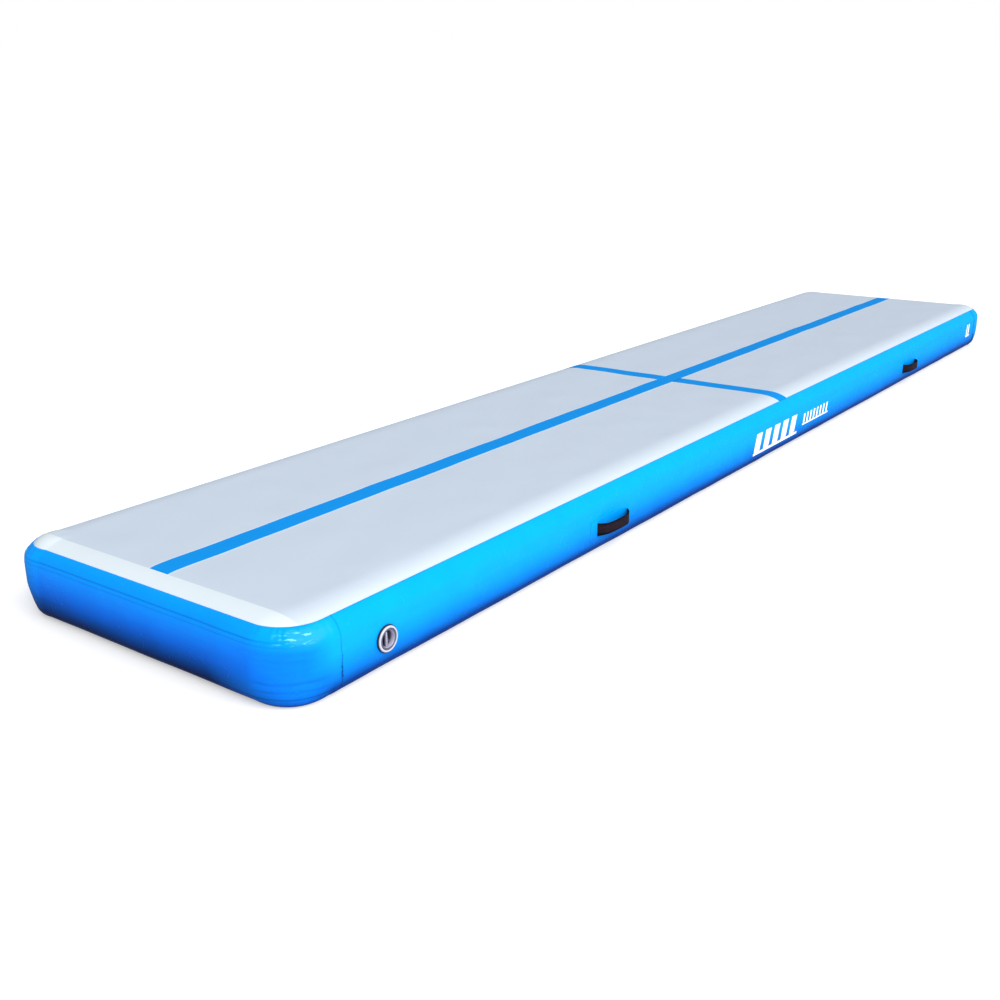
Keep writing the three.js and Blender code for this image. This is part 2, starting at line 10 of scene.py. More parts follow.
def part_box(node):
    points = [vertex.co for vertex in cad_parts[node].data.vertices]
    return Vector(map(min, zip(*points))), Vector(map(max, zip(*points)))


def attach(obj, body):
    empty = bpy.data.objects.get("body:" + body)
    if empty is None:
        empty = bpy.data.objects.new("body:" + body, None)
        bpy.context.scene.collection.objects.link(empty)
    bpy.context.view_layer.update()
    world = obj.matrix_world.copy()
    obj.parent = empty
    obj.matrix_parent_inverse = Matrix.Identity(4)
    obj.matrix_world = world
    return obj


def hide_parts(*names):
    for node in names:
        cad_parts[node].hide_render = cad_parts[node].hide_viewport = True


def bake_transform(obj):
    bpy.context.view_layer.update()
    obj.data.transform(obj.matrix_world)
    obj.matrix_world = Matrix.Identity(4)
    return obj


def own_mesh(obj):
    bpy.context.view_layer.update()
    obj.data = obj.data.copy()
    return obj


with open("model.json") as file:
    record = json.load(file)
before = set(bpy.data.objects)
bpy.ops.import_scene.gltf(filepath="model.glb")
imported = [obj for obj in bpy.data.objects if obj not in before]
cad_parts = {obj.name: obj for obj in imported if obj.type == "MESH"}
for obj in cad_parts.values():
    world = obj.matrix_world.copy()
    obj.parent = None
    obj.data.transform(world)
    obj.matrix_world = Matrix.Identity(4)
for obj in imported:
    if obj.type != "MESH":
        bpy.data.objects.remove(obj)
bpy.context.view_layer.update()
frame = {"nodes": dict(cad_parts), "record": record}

# ---- sizes, taken from the frame where it states them ----
MM = 0.001
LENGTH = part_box("far_end_wall")[1].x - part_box("near_end_wall")[0].x
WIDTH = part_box("far_end_wall")[1].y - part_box("far_end_wall")[0].y
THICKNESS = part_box("top_cover_sheet")[1].z
SEAM_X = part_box("valve_side_wall")[1].x
END_TAPE_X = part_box("far_end_tape")[0].x
STRIPE_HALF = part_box("centre_stripe")[1].y
CROSS_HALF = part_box("cross_stripe_valve_side")[1].x
STRIPE_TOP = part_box("centre_stripe")[1].z
STRAP_HEIGHT = (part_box("valve_side_near_handle_strap")[0].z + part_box("valve_side_near_handle_strap")[1].z) / 2
VALVE_LOW, VALVE_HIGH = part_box("valve_body")
VALVE_CENTRE = Vector(((VALVE_LOW.x + VALVE_HIGH.x) / 2, -WIDTH / 2, (VALVE_LOW.z + VALVE_HIGH.z) / 2))
VALVE_RIM = (VALVE_HIGH.x - VALVE_LOW.x) / 2
VALVE_FACE, VALVE_FOOT = VALVE_LOW.y + WIDTH / 2, VALVE_HIGH.y + WIDTH / 2  # its ends, from the wall
RECESS = 25.6 * MM  # radius of the flange's recess, where the cap sits
CAP_SHOULDER = -6.6 * MM  # where the cap's rim starts to round over, from the wall
HALF_L, HALF_W = LENGTH / 2, WIDTH / 2
CORNER = 130 * MM  # radius of the mat's corners in plan
TOP_ROLL = (115 * MM, 70 * MM, 2.4)  # run, rise and roundness of the edge where the top turns down
BOTTOM_ROLL = (50 * MM, 60 * MM, 2.2)
TOP_LAP = 30 * MM  # how far in over the top the walls reach
BOTTOM_LAP = 45 * MM
TUCK = 3 * MM  # how far the top cloth and tapes run on beneath the walls' edges
SKIN = 1.2 * MM  # thickness of the coated cloth
PIECE_GAP = 0.3 * MM  # left between neighbouring pieces, as in the CAD

# ---- camera place of the photograph, fitted to the mat's straight edges ----
CAMERA_PLACE = Vector((-0.793 * LENGTH, -0.4246 * LENGTH, 6.034 * THICKNESS))
CAMERA_YAW, CAMERA_PITCH, CAMERA_ROLL = 36.562, 18.577, -0.441
CAMERA_LENS = 42.25

MAT = "mat"  # the body that everything fixed rides on


# ---------------- edge profile and plan outline

def roll_points(roll, count):
    """Inset from the wall and rise of a rolled edge, from the wall round to the flat."""
    run, rise, power = roll
    angle = np.linspace(0, np.pi / 2, count)
    return run * (1 - np.cos(angle) ** (2 / power)), rise * np.sin(angle) ** (2 / power)


def edge_outline(step=0.5 * MM):
    """The profile from the top face to the bottom: distance along it, inset, height and outward normal."""
    top_inset, top_rise = roll_points(TOP_ROLL, 240)
    low_inset, low_rise = roll_points(BOTTOM_ROLL, 160)
    inset = np.concatenate([top_inset[::-1], low_inset])
    height = np.concatenate([THICKNESS - TOP_ROLL[1] + top_rise[::-1], BOTTOM_ROLL[1] - low_rise])
    run = np.concatenate([[0], np.cumsum(np.hypot(np.diff(inset), np.diff(height)))])
    along = np.arange(0, run[-1], step)
    inset, height = np.interp(along, run, inset), np.interp(along, run, height)
    slope_in, slope_up = np.gradient(inset, along), np.gradient(height, along)
    size = np.hypot(slope_in, slope_up)
    return along, inset, height, -slope_up / size, -slope_in / size


EDGE_ALONG, EDGE_INSET, EDGE_HEIGHT, EDGE_OUT, EDGE_UP = edge_outline()


def along_at(inset, on_top):
    """Distance along the profile where it is this far in from the wall."""
    part = EDGE_HEIGHT > THICKNESS / 2 if on_top else EDGE_HEIGHT < THICKNESS / 2
    order = np.argsort(EDGE_INSET[part])
    return float(np.interp(inset, EDGE_INSET[part][order], EDGE_ALONG[part][order]))


def profile(along):
    """Inset, height, outward and upward parts of the normal at these distances along the profile."""
    edge_values = (EDGE_INSET, EDGE_HEIGHT, EDGE_OUT, EDGE_UP)
    return [np.interp(along, EDGE_ALONG, values) for values in edge_values]


def end_places(sign, spacing, lap):
    """Places round one end, seam to seam: x, y, outward x, outward y, distance from the valve-side seam."""
    straight = np.arange(SEAM_X - lap, HALF_L - CORNER, spacing)
    angle = np.linspace(0, np.pi / 2, int(CORNER * np.pi / 2 / spacing))
    across = np.arange(-HALF_W + CORNER + spacing, HALF_W - CORNER, spacing)
    along_side, along_end = np.ones(len(straight)), np.ones(len(across))
    sine, cosine = np.sin(angle), np.cos(angle)
    arc_x = HALF_L - CORNER + CORNER * sine
    arc_y = -HALF_W + CORNER - CORNER * cosine
    x = np.concatenate([straight, arc_x, HALF_L * along_end, arc_x[::-1], straight[::-1]])
    y = np.concatenate([-HALF_W * along_side, arc_y, across, -arc_y[::-1], HALF_W * along_side])
    out_x = np.concatenate([0 * along_side, sine, along_end, sine[::-1], 0 * along_side])
    out_y = np.concatenate([-along_side, -cosine, 0 * along_end, cosine[::-1], along_side])
    run = np.concatenate([[0], np.cumsum(np.hypot(np.diff(x), np.diff(y)))])
    return sign * x, y, sign * out_x, out_y, run


# how much tighter the top and bottom edges are rolled at a corner, by the signs of its x and y
CORNER_FULLNESS = {(-1, -1): 0.0, (-1, 1): 0.42, (1, -1): 0.35, (1, 1): 0.25}
FOOT_FULLNESS = {(-1, -1): 0.35, (-1, 1): 0.45, (1, -1): 0.2, (1, 1): 0.2}


def fullness(x, y, shares=CORNER_FULLNESS):
    """Share by which a roll is pulled outwards: most at the middle of a corner, none on the straights."""
    over_x = np.clip(np.abs(x) - (HALF_L - CORNER), 0, None)
    over_y = np.clip(np.abs(y) - (HALF_W - CORNER), 0, None)
    diagonal = 2 * over_x * over_y / np.maximum(over_x ** 2 + over_y ** 2, 1e-12)
    total = 0 * diagonal
    for (sign_x, sign_y), most in shares.items():
        total = total + most * (x * sign_x > 0) * (y * sign_y > 0)
    return total * diagonal


def side_places(sign, spacing):
    """Places along one long side, as end_places gives them."""
    x = np.linspace(-SEAM_X, SEAM_X, int(2 * SEAM_X / spacing))
    level = np.ones(len(x))
    return x, sign * HALF_W * level, 0 * level, sign * level, x + SEAM_X


# ---------------- small shapes of cloth

def waves(first, second, seed, shortest, longest, count=14):
    """A smooth, repeatable, random surface of about unit height."""
    rng = np.random.default_rng(seed)
    total = np.zeros(np.broadcast(first, second).shape)
    for _ in range(count):
        length = math.exp(rng.uniform(math.log(shortest), math.log(longest)))
        heading, phase = rng.uniform(0, 2 * np.pi, 2)
        turn = 2 * np.pi / length
        total += np.sin(turn * (first * np.cos(heading) + second * np.sin(heading)) + phase)
    return total / math.sqrt(count / 2)


def ridge(value, centre, width):
    """A smooth rise to 1 at the centre."""
    return np.exp(-((value - centre) / width) ** 2)


def ramp(value, start, end):
    """A smooth change from 0 at the start to 1 at the end."""
    share = np.clip((value - start) / (end - start), 0, 1)
    return share * share * (3 - 2 * share)


# ---------------- mesh making

def finish_mesh(name, vertices, faces, material, smooth=True, merge=0.02 * MM):
    """A new object from points and faces, with points that coincide joined."""
    mesh = bpy.data.meshes.new(name)
    mesh.from_pydata([tuple(v) for v in vertices], [], [tuple(f) for f in faces])
    work = bmesh.new()
    work.from_mesh(mesh)
    bmesh.ops.remove_doubles(work, verts=work.verts, dist=merge)
    bmesh.ops.dissolve_degenerate(work, dist=merge, edges=work.edges)
    work.to_mesh(mesh)
    work.free()
    mesh.polygons.foreach_set("use_smooth", [smooth] * len(mesh.polygons))
    mesh.materials.append(material)
    piece = bpy.data.objects.new(name, mesh)
    bpy.context.collection.objects.link(piece)
    return piece


def grid_faces(rows, columns, start=0, closed=False, flip=False):
    """Four-sided faces between the points of a grid, whose rows may close into rings."""
    faces = []
    for r in range(rows - 1):
        for c in range(columns if closed else columns - 1):
            d = (c + 1) % columns
            face = [start + r * columns + c, start + r * columns + d,
                    start + (r + 1) * columns + d, start + (r + 1) * columns + c]
            faces.append(face[::-1] if flip else face)
    return faces


def grid_piece(name, points, material, away_from, closed=False):
    """A grid of points as a surface that faces away from a point."""
    rows, columns = points.shape[:2]
    r, c = rows // 2, columns // 2
    normal = np.cross(points[r, c + 1] - points[r, c], points[r + 1, c] - points[r, c])
    flip = np.dot(normal, points[r, c] - np.asarray(away_from, float)) < 0
    faces = grid_faces(rows, columns, closed=closed, flip=flip)
    return finish_mesh(name, points.reshape(-1, 3), faces, material)


def with_hem(points, drop):
    """Adds a border that folds the grid's edge down by a vector, so that the sheet shows its thickness."""
    framed = np.pad(points, ((1, 1), (1, 1), (0, 0)), mode="edge")
    low = np.zeros(framed.shape[:2] + (1,))
    low[0, :] = low[-1, :] = low[:, 0] = low[:, -1] = 1
    return framed + low * np.asarray(drop)


def face_out(piece):
    """Turns a closed piece's faces outwards."""
    work = bmesh.new()
    work.from_mesh(piece.data)
    bmesh.ops.recalc_face_normals(work, faces=work.faces)
    work.to_mesh(piece.data)
    work.free()
    return piece


def spun(name, outline, material, centre, steps=96):
    """A solid of revolution about Y, from points given as (radius, y)."""
    angle = np.linspace(0, 2 * np.pi, steps, endpoint=False)
    radius, along = np.array(outline, float).T
    points = np.stack([radius[:, None] * np.cos(angle), np.repeat(along[:, None], steps, 1),
                       radius[:, None] * np.sin(angle)], -1) + np.array(centre)
    faces = grid_faces(len(outline), steps, closed=True)
    return face_out(finish_mesh(name, points.reshape(-1, 3), faces, material))


def rounded_outline(points, radius, steps=4):
    """Rounds the corners of an open outline."""
    made = [points[0]]
    for before, corner, after in zip(points, points[1:], points[2:]):
        corner = np.array(corner)
        back, ahead = np.array(before) - corner, np.array(after) - corner
        back_length, ahead_length = np.linalg.norm(back), np.linalg.norm(ahead)
        reach = min(radius, back_length / 2.2, ahead_length / 2.2)
        start, end = corner + back / back_length * reach, corner + ahead / ahead_length * reach
        for t in np.linspace(0, 1, steps):
            made.append(tuple((1 - t) ** 2 * start + 2 * t * (1 - t) * corner + t * t * end))
    made.append(points[-1])
    return made


# ---------------- materials

class Nodes:
    """A material under construction: its nodes, links and shader."""

    def __init__(self, name):
        self.material = bpy.data.materials.new(name)
        self.material.use_nodes = True
        self.tree = self.material.node_tree
        self.shader = self.tree.nodes["Principled BSDF"]
        self.place = self.add("ShaderNodeTexCoord").outputs["Object"]

    def add(self, kind, **settings):
        node = self.tree.nodes.new(kind)
        for key, value in settings.items():
            setattr(node, key, value)
        return node

    def link(self, start, end):
        self.tree.links.new(start, end)

    def feed(self, value, socket):
        """Sets a socket to a number or a colour, or links another socket to it."""
        if isinstance(value, (int, float)):
            socket.default_value = value
        elif isinstance(value, tuple):
            socket.default_value = value + (1,) * (len(socket.default_value) - len(value))
        else:
            self.link(value, socket)

    def maths(self, operation, *values):
        node = self.add("ShaderNodeMath", operation=operation)
        for value, socket in zip(values, node.inputs):
            self.feed(value, socket)
        return node.outputs[0]

    def times(self, first, second):
        return self.maths("MULTIPLY", first, second)

    def plus(self, first, second):
        return self.maths("ADD", first, second)

    def minus(self, first, second):
        return self.maths("SUBTRACT", first, second)

    def absolute(self, value):
        return self.maths("ABSOLUTE", value)

    def noise(self, scale, detail=3.0, roughness=0.5, stretch=None):
        node = self.add("ShaderNodeTexNoise")
        node.inputs["Scale"].default_value = scale
        node.inputs["Detail"].default_value = detail
        node.inputs["Roughness"].default_value = roughness
        if stretch is None:
            self.link(self.place, node.inputs["Vector"])
        else:
            mapping = self.add("ShaderNodeMapping")
            mapping.inputs["Scale"].default_value = stretch
            self.link(self.place, mapping.inputs["Vector"])
            self.link(mapping.outputs[0], node.inputs["Vector"])
        return node.outputs["Fac"]

    def axes(self):
        parts = self.add("ShaderNodeSeparateXYZ")
        self.link(self.place, parts.inputs[0])
        return parts.outputs[0], parts.outputs[1], parts.outputs[2]

    def mix(self, first, second, share):
        """One colour turning into another as the share goes from 0 to 1."""
        node = self.add("ShaderNodeMix", data_type="RGBA")
        self.feed(first, node.inputs[6])
        self.feed(second, node.inputs[7])
        self.link(share, node.inputs[0])
        return node.outputs[2]

    def spread(self, value, low, high, start=0.0, end=1.0):
        """The value's range from start to end, made to run from low to high."""
        node = self.add("ShaderNodeMapRange")
        node.inputs["From Min"].default_value = start
        node.inputs["From Max"].default_value = end
        node.inputs["To Min"].default_value = low
        node.inputs["To Max"].default_value = high
        self.link(value, node.inputs["Value"])
        return node.outputs["Result"]

    def vary(self, low, high, scale, detail=3.0, roughness=0.5, stretch=None):
        """A value that wanders with noise between low and high."""
        return self.spread(self.noise(scale, detail, roughness, stretch), low, high)

    def stops(self, value, stops):
        """A colour looked up in a list of (position, colour)."""
        node = self.add("ShaderNodeValToRGB")
        node.color_ramp.interpolation = "LINEAR"
        elements = node.color_ramp.elements
        while len(elements) < len(stops):
            elements.new(0.5)
        for element, (position, colour) in zip(elements, stops):
            element.position = position
            element.color = (*colour, 1)
        self.link(value, node.inputs["Fac"])
        return node.outputs["Color"]

    def shade(self, colour, value):
        """The colour made lighter or darker by a value about 1."""
        node = self.add("ShaderNodeVectorMath", operation="SCALE")
        self.feed(colour, node.inputs[0])
        self.link(value, node.inputs["Scale"])
        return node.outputs[0]

    def shade_where(self, colour, value, share):
        change = self.times(share, self.minus(value, 1.0))
        return self.shade(colour, self.plus(change, 1.0))

    def threads(self, axis, pitch):
        """Waves of this pitch along an axis."""
        return self.maths("SINE", self.times(axis, 2 * math.pi / pitch))

    def weave(self, pitch):
        """Crossed threads on any face that lies square to an axis."""
        x, y, z = (self.threads(axis, pitch) for axis in self.axes())
        return self.plus(self.plus(x, y), z)

    def between(self, value, start, full, fall, end):
        """0 up to the start, 1 from full to fall, and 0 again from the end."""
        rise, drop = self.spread(value, 0, 1, start, full), self.spread(value, 1, 0, fall, end)
        return self.times(rise, drop)

    def line(self, value, centre, half_width, depth):
        """1 everywhere but in a soft-edged line, where it drops by the depth."""
        away = self.absolute(self.minus(value, centre))
        return self.spread(away, 1 - depth, 1.0, 0.4 * half_width, 1.6 * half_width)

    def bump(self, *layers):
        """Layers are (height, metres of depth)."""
        total = None
        for height, depth in layers:
            part = self.times(height, depth)
            total = part if total is None else self.plus(total, part)
        node = self.add("ShaderNodeBump")
        node.inputs["Distance"].default_value = 1.0
        node.inputs["Strength"].default_value = 1.0
        self.link(total, node.inputs["Height"])
        self.link(node.outputs[0], self.shader.inputs["Normal"])

    def finish(self, colour, roughness, **sockets):
        """Plugs everything into the shader and gives the material."""
        self.link(colour, self.shader.inputs["Base Color"])
        self.link(roughness, self.shader.inputs["Roughness"])
        for name, value in sockets.items():
            self.shader.inputs[name.replace("_", " ")].default_value = value
        return self.material


# height as a share of the thickness, and the cloth's colour there, darkened towards the floor by painted shade
SIDE_STOPS = [  # on the long walls
    (0.08, (0.0, 0.027, 0.19)),
    (0.17, (0.0, 0.068, 0.34)),
    (0.24, (0.0, 0.131, 0.51)),
    (0.32, (0.0, 0.176, 0.62)),
    (0.40, (0.0, 0.225, 0.71)),
    (0.55, (0.0, 0.288, 0.83)),
    (0.90, (0.0, 0.320, 0.86)),
]
END_STOPS = [  # on the end walls, which darken more towards the foot
    (0.08, (0.0, 0.012, 0.075)),
    (0.17, (0.0, 0.020, 0.12)),
    (0.24, (0.0, 0.036, 0.20)),
    (0.32, (0.0, 0.060, 0.34)),
    (0.40, (0.0, 0.088, 0.52)),
    (0.55, (0.0, 0.150, 0.73)),
    (0.70, (0.0, 0.215, 0.84)),
    (0.90, (0.0, 0.270, 0.90)),
]
# painted light keeps the corner by the valve bright nearly down to the floor
CORNER_STOPS = [  # round the corner by the valve, which stays bright nearly down to the floor
    (0.00, (0.0, 0.015, 0.12)),
    (0.06, (0.0, 0.100, 0.50)),
    (0.14, (0.0, 0.150, 0.66)),
    (0.28, (0.0, 0.160, 0.74)),
    (0.50, (0.0, 0.165, 0.80)),
    (0.68, (0.0, 0.176, 0.84)),
    (0.82, (0.0, 0.290, 0.88)),
]


# heights, half widths and depths of the painted shade along the lines where sheet edges show through the wall,
# and along the corners' creases
END_LINES = [(159 * MM, 1.5 * MM, 0.34), (149 * MM, 1.2 * MM, 0.24)]
FOOT_LINE = (27 * MM, 2.0 * MM, 0.35)
CORNER_CREASES = [(66 * MM, 3 * MM, 0.16), (47 * MM, 2.4 * MM, 0.13), (118 * MM, 2.5 * MM, 0.08)]
LAP_LINE_X = SEAM_X - 12 * MM  # where an end piece stops on top of a long wall
PUCKER_SHADE_HEIGHTS = (30 * MM, 45 * MM, 95 * MM, 110 * MM)  # where the painted shade in the puckers starts, is thick, thins and ends
# heights at which the painted highlights on the corner folds start, are full, fade and end
GLINT_HEIGHTS = (148 * MM, 162 * MM, 170 * MM, 178 * MM)
GLINT_TURNS = (0.20, 0.34, 0.42, 0.66)  # the same as shares of the way round a corner
# colour of the painted shade in the puckers beside the seam
PUCKER_SHADE_BLUE = (0.0, 0.03, 0.16)
GLINT_BLUE = (0.25, 0.90, 1.0)


def past_straight(make, axis, half):
    """How far a place lies past the straight part of a side."""
    return make.maths("MAXIMUM", make.minus(make.absolute(axis), half - CORNER), 0.0)


def colour_with_painted_shade(make, x, y, z, at_end):
    """The cloth's colour by its height and by the part of the wall, darkened towards the floor by painted shade,
    with painted light on the corner by the valve.
    """
    uneven = make.vary(-0.05, 0.05, 3.0, 2.0, stretch=(1, 1, 3))
    height = make.plus(make.maths("DIVIDE", z, THICKNESS), uneven)
    colour = make.mix(make.stops(height, SIDE_STOPS), make.stops(height, END_STOPS), at_end)
    # painted light on the corner by the valve
    past_seam = make.spread(make.times(x, -1.0), 0, 0.95, HALF_L - CORNER, HALF_L - CORNER / 2)
    off_side = make.spread(y, 1, 0, -HALF_W + CORNER / 4, -HALF_W + 2 * CORNER)
    lit_corner_share = make.times(past_seam, off_side)
    colour = make.mix(colour, make.stops(height, CORNER_STOPS), lit_corner_share)
    return make.shade(colour, make.vary(0.93, 1.07, 14, 4.0))


def add_lap_line(make, colour, x, z):
    """Painted shade along the wandering edge of an end piece, with blots of painted shade in the puckers low
    down.
    """
    wander = make.vary(-5 * MM, 5 * MM, 18, 2.0)
    along = make.plus(make.absolute(x), wander)
    # painted shade along the step where the end piece laps over
    colour = make.shade(colour, make.line(along, LAP_LINE_X, 1.8 * MM, 0.5))
    blots = make.spread(make.noise(110, 1.0), 0, 1, 0.5, 0.56)
    near_line = make.minus(1.0, make.line(along, LAP_LINE_X, 4 * MM, 1.0))
    # blots of painted shade where the cloth puckers beside the seam
    pucker_shade = make.times(make.times(make.between(z, *PUCKER_SHADE_HEIGHTS), blots), near_line)
    return make.mix(colour, PUCKER_SHADE_BLUE, make.times(pucker_shade, 0.8))


def add_corner_creases(make, colour, z, in_corner):
    """Painted shade along level creases, and fine streaks of painted shade and painted highlight, where the cloth
    is gathered round a corner.
    """
    for centre, half_width, depth in CORNER_CREASES:
        wavy = make.plus(z, make.vary(-9 * MM, 9 * MM, 5, 2.0))
        colour = make.shade_where(colour, make.line(wavy, centre, half_width, depth), in_corner)
    # fine streaks of painted shade and painted highlight
    streaks = make.vary(0.86, 1.14, 16, 4.0, stretch=(1, 1, 7))
    return make.shade_where(colour, streaks, in_corner)


def add_glints(make, colour, z, turned):
    """Painted highlights: small bright glints on the folds high on the corners."""
    folds = make.spread(make.noise(48, 3.0, stretch=(1, 1, 4)), 0, 1, 0.53, 0.66)
    for part in (make.between(z, *GLINT_HEIGHTS), make.between(turned, *GLINT_TURNS)):
        folds = make.times(folds, part)
    return make.mix(colour, GLINT_BLUE, make.times(folds, 0.8))


def wall_material():
    """Coated cloth darkened towards the floor by painted shade, with painted shade along the lines and creases of
    the wall and painted highlights high on the corners.
    """
    make = Nodes("blue_coated_cloth")
    x, y, z = make.axes()
    past_x, past_y = past_straight(make, x, HALF_L), past_straight(make, y, HALF_W)
    turned = make.maths("DIVIDE", past_x, make.plus(make.plus(past_x, past_y), 1 * MM))
    at_end = make.maths("POWER", turned, 1.6)
    in_corner = make.spread(make.maths("MINIMUM", past_x, past_y), 0, 1, 2 * MM, 30 * MM)
    colour = colour_with_painted_shade(make, x, y, z, at_end)
    # painted shade along the grooves of the sheet edges: two high on the end walls, one low all round
    for line in END_LINES:
        colour = make.shade_where(colour, make.line(z, *line), at_end)
    colour = make.shade(colour, make.line(z, *FOOT_LINE))
    colour = add_lap_line(make, colour, x, z)
    colour = add_corner_creases(make, colour, z, in_corner)
    colour = add_glints(make, colour, z, turned)
    roughness = make.vary(0.2, 0.32, 25, 3.0)
    make.bump((make.weave(1.4 * MM), 0.012 * MM), (make.noise(900, 2.0), 0.03 * MM),
              (make.noise(9, 3.0, stretch=(0.5, 1, 2.6)), 3.0 * MM),
              (make.noise(30, 3.0, stretch=(0.6, 1, 1)), 0.8 * MM))
    return make.finish(colour, roughness, Coat_Weight=0.05, Coat_Roughness=0.08, Specular_IOR_Level=0.08)


def top_material():
    """Pale cloth, with a painted highlight where it turns down to the walls and a painted bright line beside each
    stripe.
    """
    make = Nodes("pale_landing_cloth")
    x, y, _ = make.axes()
    # painted highlight on the roll where the top turns down to the walls
    rim_highlight_share = make.spread(make.absolute(y), 0, 1, HALF_W - 105 * MM, HALF_W - 45 * MM)
    colour = make.mix((0.455, 0.525, 0.62), (0.50, 0.57, 0.645), rim_highlight_share)
    # a painted bright line beside each stripe
    for axis in (x, y):
        off_stripe = make.absolute(axis)
        colour = make.shade(colour, make.line(off_stripe, STRIPE_HALF + 3 * MM, 3 * MM, -0.16))
    colour = make.shade(colour, make.vary(0.985, 1.015, 9, 5.0, 0.6))
    roughness = make.vary(0.5, 0.64, 40, 3.0)
    make.bump((make.weave(2.2 * MM), 0.03 * MM), (make.noise(450, 2.0), 0.08 * MM),
              (make.noise(5, 2.0), 0.9 * MM))
    return make.finish(colour, roughness, Specular_IOR_Level=0.3)


def tape_material(name, colour, shine, gloss=0.3):
    """Finely woven cloth of one colour."""
    make = Nodes(name)
    tint = make.shade(colour, make.vary(0.97, 1.03, 12, 4.0))
    roughness = make.vary(shine, shine + 0.1, 30, 3.0)
    make.bump((make.weave(1.8 * MM), 0.012 * MM), (make.noise(60, 3.0), 0.12 * MM))
    return make.finish(tint, roughness, Specular_IOR_Level=gloss)


def webbing_material():
    """Near-black webbing with crossed threads, darkest along its edges."""
    make = Nodes("dark_webbing")
    x, _, z = make.axes()
    threads = make.times(make.threads(x, 2.2 * MM), make.threads(z, 1.5 * MM))
    colour = make.stops(make.noise(160, 4.0), [(0.3, (0.006, 0.003, 0.008)), (0.7, (0.026, 0.010, 0.020))])
    off_centre = make.absolute(make.minus(z, STRAP_HEIGHT + 2.5 * MM))
    at_edge = make.spread(off_centre, 0, 1, 9 * MM, 14 * MM)
    colour = make.mix(colour, (0.001, 0.001, 0.004), at_edge)
    colour = make.shade(colour, make.spread(threads, 0.65, 1.35))
    roughness = make.vary(0.6, 0.8, 300, 2.0)
    make.bump((threads, 0.12 * MM), (make.noise(900, 2.0), 0.06 * MM))
    return make.finish(colour, roughness, Sheen_Weight=0.04, Sheen_Roughness=0.4, Specular_IOR_Level=0.12)


def finish_plastic(make, colour, shine, wear, unevenness=0.1):
    """Gives plastic or rubber its faint grain."""
    tint = make.shade(colour, make.vary(1 - wear, 1 + wear, 70, 4.0))
    make.bump((make.noise(1400, 2.0), 0.015 * MM),)
    return make.finish(tint, make.vary(shine, shine + unevenness, 220, 3.0), Specular_IOR_Level=0.5)


def moulded_material(name, colour, shine, wear=0.04):
    return finish_plastic(Nodes(name), colour, shine, wear, 0.12)


def flange_material():
    """Pale plastic, with painted shade in a ring down in the recess, at the joint between the flange and the cap.
    """
    make = Nodes("pale_flange_plastic")
    x, _, z = make.axes()
    across, up = make.minus(x, VALVE_CENTRE.x), make.minus(z, VALVE_CENTRE.z)
    radius = make.maths("SQRT", make.plus(make.times(across, across), make.times(up, up)))
    # painted shade down in the recess where the cap sits
    clear_of_painted_shade = make.spread(radius, 0, 1, RECESS - 0.3 * MM, RECESS + 0.6 * MM)
    colour = make.mix((0.035, 0.035, 0.05), (0.46, 0.47, 0.56), clear_of_painted_shade)
    return finish_plastic(make, colour, 0.2, 0.05)


def cap_material():
    """Grey plastic, with painted shade down in the dish and on the rim."""
    make = Nodes("grey_cap_plastic")
    _, y, _ = make.axes()
    # painted shade, deeper down in the dish
    depth = make.spread(y, 0, 1, VALVE_CENTRE.y, VALVE_CENTRE.y + 6.5 * MM)
    colour = make.mix((0.37, 0.36, 0.49), (0.02, 0.02, 0.03), depth)
    # painted shade on the outer face of the cap's rim
    shoulder = VALVE_CENTRE.y + CAP_SHOULDER
    colour = make.mix(colour, (0.09, 0.09, 0.12), make.spread(y, 1, 0, shoulder, shoulder + 1.2 * MM))
    return finish_plastic(make, colour, 0.16, 0.1)


def metal_material():
    make = Nodes("bright_spring_steel")
    tint = make.shade((0.62, 0.63, 0.65), make.vary(0.92, 1.05, 200, 3.0))
    roughness = make.vary(0.22, 0.36, 500, 2.0)
    make.bump((make.noise(1500, 2.0), 0.01 * MM),)
    return make.finish(tint, roughness, Metallic=1.0)


look = {
    "blue_wall": wall_material(),
    "top_face": top_material(),
    "white_tape": tape_material("white_gloss_tape", (0.59, 0.66, 0.71), 0.28),
    "blue_tape": tape_material("blue_stripe_cloth", (0.0, 0.232, 0.66), 0.38, 0.06),
    "webbing": webbing_material(),
    "valve_plastic": moulded_material("pale_moulded_plastic", (0.42, 0.43, 0.52), 0.22),
    "flange": flange_material(),
    "cap": cap_material(),
    "black_rubber": moulded_material("black_rubber", (0.014, 0.014, 0.017), 0.55, 0.2),
    "steel": metal_material(),
    "core_fabric": tape_material("core_cloth", (0.66, 0.68, 0.72), 0.6),
    "yarn": tape_material("white_yarn", (0.86, 0.86, 0.83), 0.7),
    "white_print": tape_material("white_ink", (0.93, 0.95, 0.98), 0.4),
}


def repaint_frame():
    """Every CAD node takes the detailed material of its slot."""
    for entry in frame["record"]["subparts"]:
        node = frame["nodes"][entry["node"]]
        node.data.materials.clear()
        node.data.materials.append(look[entry["material_slot"]])


def install(piece, slot, body, *stands_for):
    """Gives a piece its body and hides the CAD nodes that it replaces. The slot is not used."""
    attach(piece, body)
    if stands_for:
        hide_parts(*stands_for)
    return piece


# ---------------- inflated body

def top_relief(x, y):
    """Slow unevenness of the landing face, which dies out at the rim."""
    near = np.minimum(HALF_L - np.abs(x), HALF_W - np.abs(y))
    slow = np.maximum(0.45 * MM * waves(x, y, 7, 0.16, 0.7), -0.8 * MM)
    return slow * ramp(near, 60 * MM, 150 * MM)


